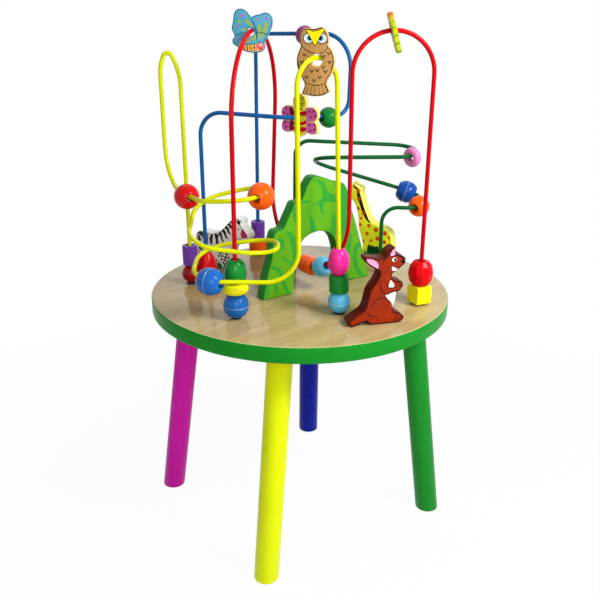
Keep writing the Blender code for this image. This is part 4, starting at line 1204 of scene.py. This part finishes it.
def dress_zebra():
    face = lacquer("zebra_face", linear(252, 252, 250), 0.02, 0.32, 0.1)
    edge = lacquer("zebra_edge", linear(250, 250, 246), 0.02, 0.34, 0.1)
    d = standing("zebra", ZEBRA_OUTLINE, (0.8601, -0.5101), (-43.46, 0), face, edge)
    d.rim("black", 0.8, 0.45)
    stripes = (
        ((-18.6, 43.4), (-15.4, 44), (-16.6, 40), (-17.2, 36), (-17.4, 31.6), (-19.4, 31.2),
        (-20.8, 36.3), (-20.3, 40)),
        ((-12.6, 45), (-9.4, 45.7), (-8.3, 42), (-8.2, 38), (-7.4, 33), (-8.7, 30.2), (-10.6, 33),
        (-11.4, 38), (-12.3, 42)),
        ((-6.6, 46), (-5, 46.4), (-7.2, 43), (-8.6, 40.4), (-9.2, 43)),
        ((-6.4, 48), (-2.8, 48.7), (-1.4, 45.5), (-0.8, 41.3), (1.8, 36), (-1.8, 38.4), (-3.2, 42),
        (-4.8, 45.5)),
        ((-1, 52), (1.6, 53.4), (4.8, 49.6), (5.2, 46.2), (7.8, 42.2), (3.8, 43.8), (2.4, 47),
        (0.4, 49.6)),
        ((3.4, 56.8), (5.8, 58.4), (9.4, 55.2), (10, 52.2), (12.4, 48.2), (8.4, 50), (7, 53),
        (5.2, 55)),
        ((7.8, 61.4), (9.8, 62.9), (12.8, 60.6), (14.4, 58.4), (16, 56), (12.2, 56.6), (10.4, 59)),
        ((12.2, 65.4), (14.4, 66.8), (16.6, 64.2), (17.8, 61.2), (14.6, 62.2)),
        ((16.8, 68), (19, 69), (20.6, 65.8), (20.8, 62.4), (18.2, 64.6)),
        ((-31.6, 45.6), (-28.8, 45.6), (-27.6, 40), (-27.8, 34), (-29.4, 32), (-30.6, 37)),
        ((-26, 44.6), (-24.6, 44.6), (-23.8, 38), (-24.4, 31), (-25.4, 37)))
    for shape in stripes:
        d.blob("black", shape, 4)
        d.stroke("black", shape, 0.6, closed=True, steps=4)
    for x, y in (
            (-4.4, 48.6), (-2.4, 50.6), (1.2, 53.6), (3.2, 55.6), (5.4, 57.8), (7.2, 60), (9.8, 62.6),
            (11.6, 64.4), (14.8, 66.6), (17.6, 68.2)):
        d.blob("black", ((x - 1.1, y + 0.6), (x + 0.9, y + 2), (x + 1.3, y - 1.7)), sharp=True)
    for line in (
            ((-40, 40.6), (-37.8, 43.2), (-35.2, 44), (-34.6, 42), (-36.8, 40), (-37.8, 37.2),
            (-36, 35.2), (-33.8, 36)),
            ((-41, 39), (-39.4, 37), (-38.9, 34.6), (-35.9, 32.9)),
            ((-33.4, 45.6), (-32.6, 41), (-31.8, 37.4)),
            ((-38.6, 30.6), (-36.1, 26.4), (-34, 24.6)),
            ((-37.6, 25.6), (-35.3, 21.6), (-32.4, 21))):
        d.stroke("black", line, 2.2, 0.6)
    d.blob("black", (
        (21.2, 69.4), (23, 67.4), (24.4, 69.2), (25.6, 66.8), (27.2, 69), (28.6, 67), (26.8, 66),
        (28, 64.4), (26.2, 61.4), (25.2, 63.4), (23.4, 62), (23.2, 64.8), (21, 64.2), (22.2, 66.4)),
        sharp=True)
    marks = (
        (-9, 23, 3), (-4.5, 21.5, 3.4), (0.5, 23, 3.2), (5, 21.5, 3.4), (8.2, 25, 2.6), (-6.8, 17.6, 3),
        (-1.8, 18.2, 3.2), (3.4, 17.2, 3.4), (7.4, 17.4, 2.6), (-3.2, 13.4, 2.8), (1.4, 13.6, 3.2),
        (5.2, 12.6, 2.8), (0, 9.6, 2.8), (3.6, 8.8, 3), (0.9, 6, 3), (3.9, 5.2, 2.4))
    for shift in (0, -38.2):
        for x, y, size in marks:
            if shift < 0 and not -2 < x < 5:
                continue
            w, h = size * 0.66, size * 0.6
            x += shift
            d.blob("black", (
                (x - w, y - h * 0.6), (x - w * 0.4, y + h), (x + w, y + h * 0.5), (x + w * 0.5, y - h)),
                sharp=True)
    muzzle = (
        (29.7, 56.9), (32.2, 57.2), (35, 55.3), (37.4, 51.7), (36.6, 48.4), (32.6, 46.9), (28.6, 47.5),
        (27.9, 51.3), (28.5, 54.4))
    d.blob("muzzle", muzzle)
    d.stroke("maroon", muzzle, 0.8, closed=True)
    d.stroke("maroon", ((31, 54.4), (32.6, 53.4), (33.8, 52.2)), 0.9)
    d.dot("black", (24, 56.4), 1.0, 1.2)
    d.stroke("black", ((22.4, 58.2), (23.8, 58.8), (25.6, 58)), 0.5)
    d.stroke("black", ((26.8, 61.2), (29, 58.6), (29.7, 56.9)), 0.5)
    for x0 in (-40.6, -1.4):
        d.blob("black", ((x0, 0.9), (x0, 3), (x0 + 6, 3.8), (x0 + 6, 0.9)), sharp=True)
    d.blob("turf", (
        (-33, 1), (-31.6, 10), (-30.2, 5), (-28.4, 15), (-26.8, 7), (-24.2, 18), (-22.4, 8),
        (-19.6, 19), (-17.6, 9), (-15, 17), (-13, 7), (-11, 14), (-9.6, 6), (-7.6, 12.4), (-6, 6),
        (-4.2, 10.4), (-3, 5), (-2.2, 1)), sharp=True)
    d.finish()


def dress_butterfly():
    face = lacquer("butterfly_face", linear(74, 158, 182), 0.08, 0.28, 0.15, (1, 1, 1), 90.0)
    edge = lacquer("butterfly_edge", linear(70, 128, 158), 0.1, 0.3, 0.15)
    d = sliding("butterfly", BUTTERFLY_OUTLINE, -95.0, 0.0, (-21.73, -21.29), face, edge,
                (-2.4, -1.0))
    d.rim("navy", 0.7, 0.35)
    for blob in (
            ((-8.6, 10), (-5.8, 10.6), (-1.9, 7.4), (0.8, 3.2), (-1.4, 4.4), (-4.6, 7)),
            ((-10.8, 2), (-7.6, 2.6), (-7.1, 0.3), (-9.2, 0.4)),
            ((5.9, 6.5), (7.7, 5.8), (8.6, 2.5), (8.2, -2), (7.2, -6), (5.9, -9), (5.6, -3.5),
            (5.4, 2)),
            ((12.6, 8.4), (15, 7.6), (14.8, 2.6), (12.4, -2.6), (9.8, -6.4), (7.9, -8.4), (9.6, -2.6),
            (11.6, 3)),
            ((-3.2, -5), (-0.2, -6.2), (-0.8, -8.6), (-3.6, -7)),
            ((1.3, -3.8), (3, -4.2), (2.9, -9.6), (1.4, -9)),
            ((-10.4, -9.2), (-6.1, -8.4), (-1.7, -10.2), (-5.8, -11), (-9.6, -10.9)),
            ((-14.8, 9.6), (-13, 11.2), (-12, 8.6), (-13.6, 6.6))):
        d.blob("olive", blob)
    for x, y, r in (
            (-11.3, 14.4, 1.6), (-14.9, 4, 1.5), (5.2, 10.6, 1.4), (14.2, 12, 1.6), (-15.6, -8.6, 1.2),
            (-7, 15.6, 0.9), (16, 5.4, 0.9)):
        d.dot("violet", (x, y), r)
    d.stroke("navy", ((-1.4, 12), (0.4, 8.6), (1.8, 5), (3.2, 1.4), (4, -3), (4.4, -10)), 0.9)
    d.stroke("navy", ((-18.4, -4.8), (-12, -2.4), (-6.5, -1.5)), 0.8)
    d.stroke("navy", ((3.8, -1), (9, -1.6), (15.8, -3.6)), 0.8)
    body = (
        (-12.6, -14.4), (-8, -13.6), (-3, -13.1), (2.6, -12.5), (7.5, -10.9), (10.6, -11.6),
        (11.8, -14.6), (10, -18), (5, -19.4), (-0.7, -19.7), (-6.3, -18.9), (-10.6, -17.2))
    d.blob("yellow", body, margin=0.35)
    for k in range(9):
        x = -11.2 + 1.85 * k
        d.blob(("rose", "maroon")[k % 2], (
            (x - 0.45, -13.7 + x * 0.08), (x + 0.45, -13.6 + x * 0.08), (x + 0.75, -19.2 - x * 0.04),
            (x - 0.35, -19 - x * 0.04)), 4, margin=0.4)
    d.blob("rose", (
        (6.2, -11.2), (9.8, -11), (11.6, -14.4), (9.8, -17.8), (6.4, -18.6), (4.4, -15)), margin=0.4)
    d.dot("white", (8.5, -13.2), 1.5)
    d.dot("black", (8.8, -13.2), 0.8)
    d.stroke("black", ((6.6, -16.4), (8.2, -17.3), (9.8, -16.4)), 0.5)
    d.stroke("navy", body[:6], 0.6)
    d.finish()


def dress_owl():
    face = lacquer("owl_face", linear(188, 142, 82), 0.1, 0.36, 0.12, (1, 4, 1), 140.0)
    edge = lacquer("owl_edge", linear(214, 174, 112), 0.08, 0.4, 0.1)
    d = sliding("owl", OWL_OUTLINE, -103.0, 0.0, (-18.57, -36.31), face, edge, (0.9, -3.0))
    d.rim("brown", 0.6, 0.75)
    for cx in (-7.3, 5.7):
        d.dot("cream", (cx, 16.2), 5.6, 5.2)
        turns = [a * math.pi / 6 for a in range(12)]
        ring = [(cx + 5.6 * math.cos(a), 16.2 + 5.2 * math.sin(a)) for a in turns]
        d.stroke("brown", ring, 0.5, closed=True)
    for cx, px in ((-7.3, -6.5), (5.7, 4.7)):
        d.dot("black", (cx, 16.2), 5.0, 4.5)
        d.dot("white", (cx, 16.2), 4.3, 3.8)
        d.dot("iris", (px, 16.4), 2.8)
        d.dot("pupil", (px + (0.5 if px < 0 else -0.5), 16.5), 1.9, 2.1)
    brow = (
        (-9.8, 23.4), (-6.3, 23.6), (-2.7, 22.4), (0.9, 23.2), (5.5, 24.9), (8, 24.2), (6.6, 21.4),
        (3.4, 16.9), (-0.9, 10), (-4.1, 14.6), (-7.6, 20.4))
    d.blob("brow", brow)
    d.stroke("black", brow, 0.6, closed=True)
    d.stroke("brown", (
        (-13.2, 9.6), (-9.8, 6.1), (-4.5, 3.7), (1.8, 2.9), (7, 4.2), (10.4, 6.9), (12, 10.6)), 0.7)
    for x, y in (
            (-11, 1.4), (-5.5, -0.7), (6.9, 0.2), (12.7, 3.2), (13.4, -4.7), (-13.6, -5), (-8.2, -7.6),
            (7.4, -9.3), (-3.7, -13), (9.6, -13.1), (-8.7, -18.6), (4, -18.5), (-1.4, -21.6),
            (-12.4, -12), (1.6, -12.4)):
        d.stroke("brown", ((x - 1.7, y + 1.1), (x, y - 1.2), (x + 1.7, y + 1.1)), 1.25, 0.8, steps=1)
    d.stroke("brown", ((-9.6, -23.4), (-4.1, -25.4), (2.3, -26), (7.4, -24.8), (10, -22.6)), 0.7)
    for a, b in (
            ((-6.6, -27.2), (-9, -33.6)),
            ((-3.6, -27.6), (-4.8, -35)),
            ((-0.6, -27.6), (-0.6, -35.4)),
            ((3.2, -27.4), (4.4, -35)),
            ((6.8, -26.8), (9, -33.8)),
            ((9.2, -25.2), (12, -31))):
        d.stroke("brown", (a, b), 1.1)
    for line in (((-17, 3), (-17.4, -4), (-15.6, -11)), ((15.6, 3), (16.8, -4), (15, -11.6))):
        d.stroke("brown", line, 0.6)
    d.finish()


def dress_bee():
    face = lacquer("bee_face", linear(236, 228, 50), 0.06, 0.3, 0.12)
    edge = lacquer("bee_edge", linear(246, 232, 110), 0.06, 0.32, 0.12)
    d = sliding("bee", BEE_OUTLINE, -125.0, 0.0, (-24.86, -19.96), face, edge, (0.0, 0.0))
    wings = (
        ((-7, 10.8), (-11, 12), (-17, 12.6), (-22, 10.2), (-24, 5), (-21.5, -0.6), (-15, -2),
        (-7.4, -1.4)),
        ((-7.4, -3.2), (-14, -3), (-20.6, -3.4), (-23.6, -7.6), (-22.6, -13), (-17, -15.4),
        (-9, -13.6), (-7.2, -8)))
    for sign in (1, -1):
        for wing in wings:
            d.blob("bee_pink", [(x * sign, y) for x, y in wing])
    # Maroon on the left wings next to the body, on both faces: painted shade where the wing meets the
    # body.
    d.blob("maroon", ((-12.2, 12), (-8, 11), (-7.2, 6), (-7.2, -1.6), (-10, -1.8), (-12.4, 4)), 4)
    d.blob("maroon", ((-12, -3.4), (-7.6, -3.2), (-7.2, -8), (-8.6, -13.4), (-12, -14)), 4)
    d.blob("bee_body", (
        (-7.8, 9.4), (-4, 10.6), (4, 10.6), (9, 9.2), (9.4, 0), (9, -11), (5.6, -17.2), (0.4, -19.4),
        (-4.6, -17.4), (-7.6, -11), (-8, 0)))
    d.blob("bee_red", ((-7.8, 8), (0, 7), (9.2, 8.8), (9.2, 4.4), (0, 2.8), (-7.9, 3.6)), 3)
    d.blob("bee_red", (
        (-7.9, -4.2), (-2, -2.8), (4.1, -3.4), (9.3, -1), (9.2, -4.6), (4.4, -7), (-2, -6.4),
        (-7.8, -7.6)), 3)
    d.blob("bee_red", (
        (-7.6, -9.4), (0.3, -9.2), (8.9, -8.8), (8.2, -12.8), (5.1, -14), (0.4, -13.8), (-6.6, -13.4)),
        3)
    d.blob("lime", (
        (-7.6, 14), (-8, 20), (-5, 24.8), (0, 26), (5, 24.8), (8, 20), (7.6, 14), (4, 12.2),
        (-4, 12.2)))
    d.stroke("black", ((-7, 11.8), (-4, 10.6), (0, 10.2), (4, 10.6), (7, 11.8)), 0.9)
    d.stroke("black", ((-7.6, 2.2), (0, 1.2), (8, 2.8)), 0.6)
    for x in (0.6, 5.7):
        d.dot("black", (x, 22.2), 0.8, 1.2)
    d.stroke("black", ((0.1, 17.4), (1.4, 16.2), (3, 15.9), (4.6, 16.4), (5.6, 17.5)), 0.7)
    for x, y in (
            (-17.6, 9.7), (-12.6, 8.4), (-20.3, 4.8), (-15.6, 3.4), (-19.5, -5.6), (-17.8, -10.4),
            (-12.4, -9.6), (14.2, 8.4), (19.4, 9.2), (21, 3.9), (15.4, 2.6), (20.6, -5.4),
            (20.2, -10.6), (15.2, -12), (14, -6)):
        d.dot("bee_spot", (x, y), 1.35)
    d.finish()


def dress_grub():
    face = lacquer("grub_face", linear(196, 214, 40), 0.08, 0.3, 0.12)
    edge = ripe("grub_edge", linear(176, 190, 20), linear(196, 104, 22), 0.013, 0.0185)
    d = sliding("grub", grub_outline(), 180.0, -16.8, (-12, -19), face, edge, (0.0, 2.5), clear=2.2)
    for y, half in ((12.2, 9), (4.7, 11), (-2.8, 11.2), (-10.3, 9.6)):
        d.stroke("grub_line", ((-half, y + 0.6), (-4, y - 0.9), (4, y - 0.9), (half, y + 0.6)), 0.7)
    d.blob("orange_tip", ((-3.4, 19.4), (0, 20.4), (3.4, 19.4), (3, 17.2), (-3, 17.2)))
    for x in (-2.9, 2.9):
        d.dot("white", (x, 14.6), 1.5)
        d.dot("black", (x + 0.3, 14.6), 0.7)
    for x, y in ((-6.2, 8.6), (6.2, 8.6), (-7.6, 1), (7.6, 1), (-6.4, -6.6), (6.4, -6.6), (0, -14)):
        d.dot("orange_tip", (x, y), 1.4)
    d.finish()


for dress in (dress_mountain, dress_kangaroo, dress_giraffe, dress_zebra, dress_butterfly, dress_owl,
              dress_bee, dress_grub):
    dress()


# Stage: floor, light and camera

def combine(tree, operation, a, b):
    node = make_node(tree, "Math")
    node.operation = operation
    tree.links.new(a, node.inputs[0])
    tree.links.new(b, node.inputs[1])
    return node.outputs[0]


def seen_rays(tree):
    """1 for camera, glossy and transmission rays, 0 for the rest."""
    path = make_node(tree, "LightPath")
    amount = path.outputs["Is Camera Ray"]
    for name in ("Is Glossy Ray", "Is Transmission Ray"):
        amount = combine(tree, "MAXIMUM", amount, path.outputs[name])
    return amount


def fade_to_white(tree, amount):
    """Near the table a little of the floor's own shading stays."""
    length = make_node(tree, "VectorMath")
    length.operation = "LENGTH"
    tree.links.new(make_node(tree, "TexCoord").outputs["Object"], length.inputs[0])
    share = make_node(tree, "MapRange", From_Min=0.30, From_Max=0.75, To_Min=0.955, To_Max=1.0)
    tree.links.new(length.outputs["Value"], share.inputs["Value"])
    return combine(tree, "MULTIPLY", amount, share.outputs["Result"])


def mix_surfaces(tree, output, amount, plain, white):
    """Give an output a plain surface, and white where the amount is 1."""
    mix = make_node(tree, "MixShader")
    for socket, end in zip((amount, plain.outputs[0], white.outputs[0]), mix.inputs):
        tree.links.new(socket, end)
    tree.links.new(mix.outputs[0], tree.nodes[output].inputs["Surface"])


def make_stage():
    bm = bmesh.new()
    bmesh.ops.create_grid(bm, x_segments=1, y_segments=1, size=6.0)
    mesh = mesh_of(bm, "studio_floor")
    floor = add("studio_floor", mesh, home=ROOT)
    floor.location.z = -0.0004
    mat = bpy.data.materials.new("studio_white")
    mat.use_nodes = True
    tree = mat.node_tree
    shader = tree.nodes["Principled BSDF"]
    set_inputs(shader, Base_Color=(0.9, 0.9, 0.9, 1), Roughness=0.9, Specular_IOR_Level=0.0)
    glow = make_node(tree, "Emission", Strength=1.0)
    mix_surfaces(tree, "Material Output", fade_to_white(tree, seen_rays(tree)), shader, glow)
    mesh.materials.append(mat)

    world = bpy.data.worlds.new("studio_world")
    bpy.context.scene.world = world
    world.use_nodes = True
    tree = world.node_tree
    soft = tree.nodes["Background"]
    set_inputs(soft, Color=(1, 1, 1, 1), Strength=0.26)
    seen = make_node(tree, "Background", Color=(1, 1, 1, 1), Strength=1.0)
    mix_surfaces(tree, "World Output", seen_rays(tree), soft, seen)


def softbox(name, at, aim, size, power):
    light = bpy.data.lights.new(name, "AREA")
    light.shape = "SQUARE"
    light.size = size
    light.energy = power
    obj = add(name, light, home=ROOT)
    obj.location = at
    way = Vector(aim) - Vector(at)
    obj.rotation_euler = way.to_track_quat("-Z", "Y").to_euler()


PHOTO_WIDTH = 600.0          # pixels
PHOTO_FOCAL = 740.2          # pixels
CAMERA_AT = (0.0, -0.8348, 0.5948)
CAMERA_PAN = -0.01
CAMERA_DOWN = 20.93
CAMERA_ROLL = 0.49


def make_camera():
    cam = bpy.data.cameras.new("photo_camera")
    cam.sensor_width = 36.0
    cam.lens = cam.sensor_width * PHOTO_FOCAL / PHOTO_WIDTH
    cam.clip_start = 0.02
    cam.clip_end = 50.0
    place = Matrix.Translation(CAMERA_AT)
    for angle, axis in ((CAMERA_PAN, "Z"), (90 - CAMERA_DOWN, "X"), (CAMERA_ROLL, "Z")):
        place = place @ Matrix.Rotation(math.radians(angle), 4, axis)
    bpy.context.scene.camera = add("photo_camera", cam, place, ROOT)


make_stage()
softbox("key_right", (0.60, -0.44, 0.96), (0.0, 0.0, 0.36), 0.32, 9.4)
softbox("fill_front", (0.20, -1.47, 0.92), (0.0, 0.0, 0.4), 0.7, 8.8)
softbox("top_back", (-0.3, 0.9, 1.9), (0.0, 0.0, 0.3), 0.9, 3.2)
make_camera()

bpy.context.scene.view_settings.view_transform = "Standard"
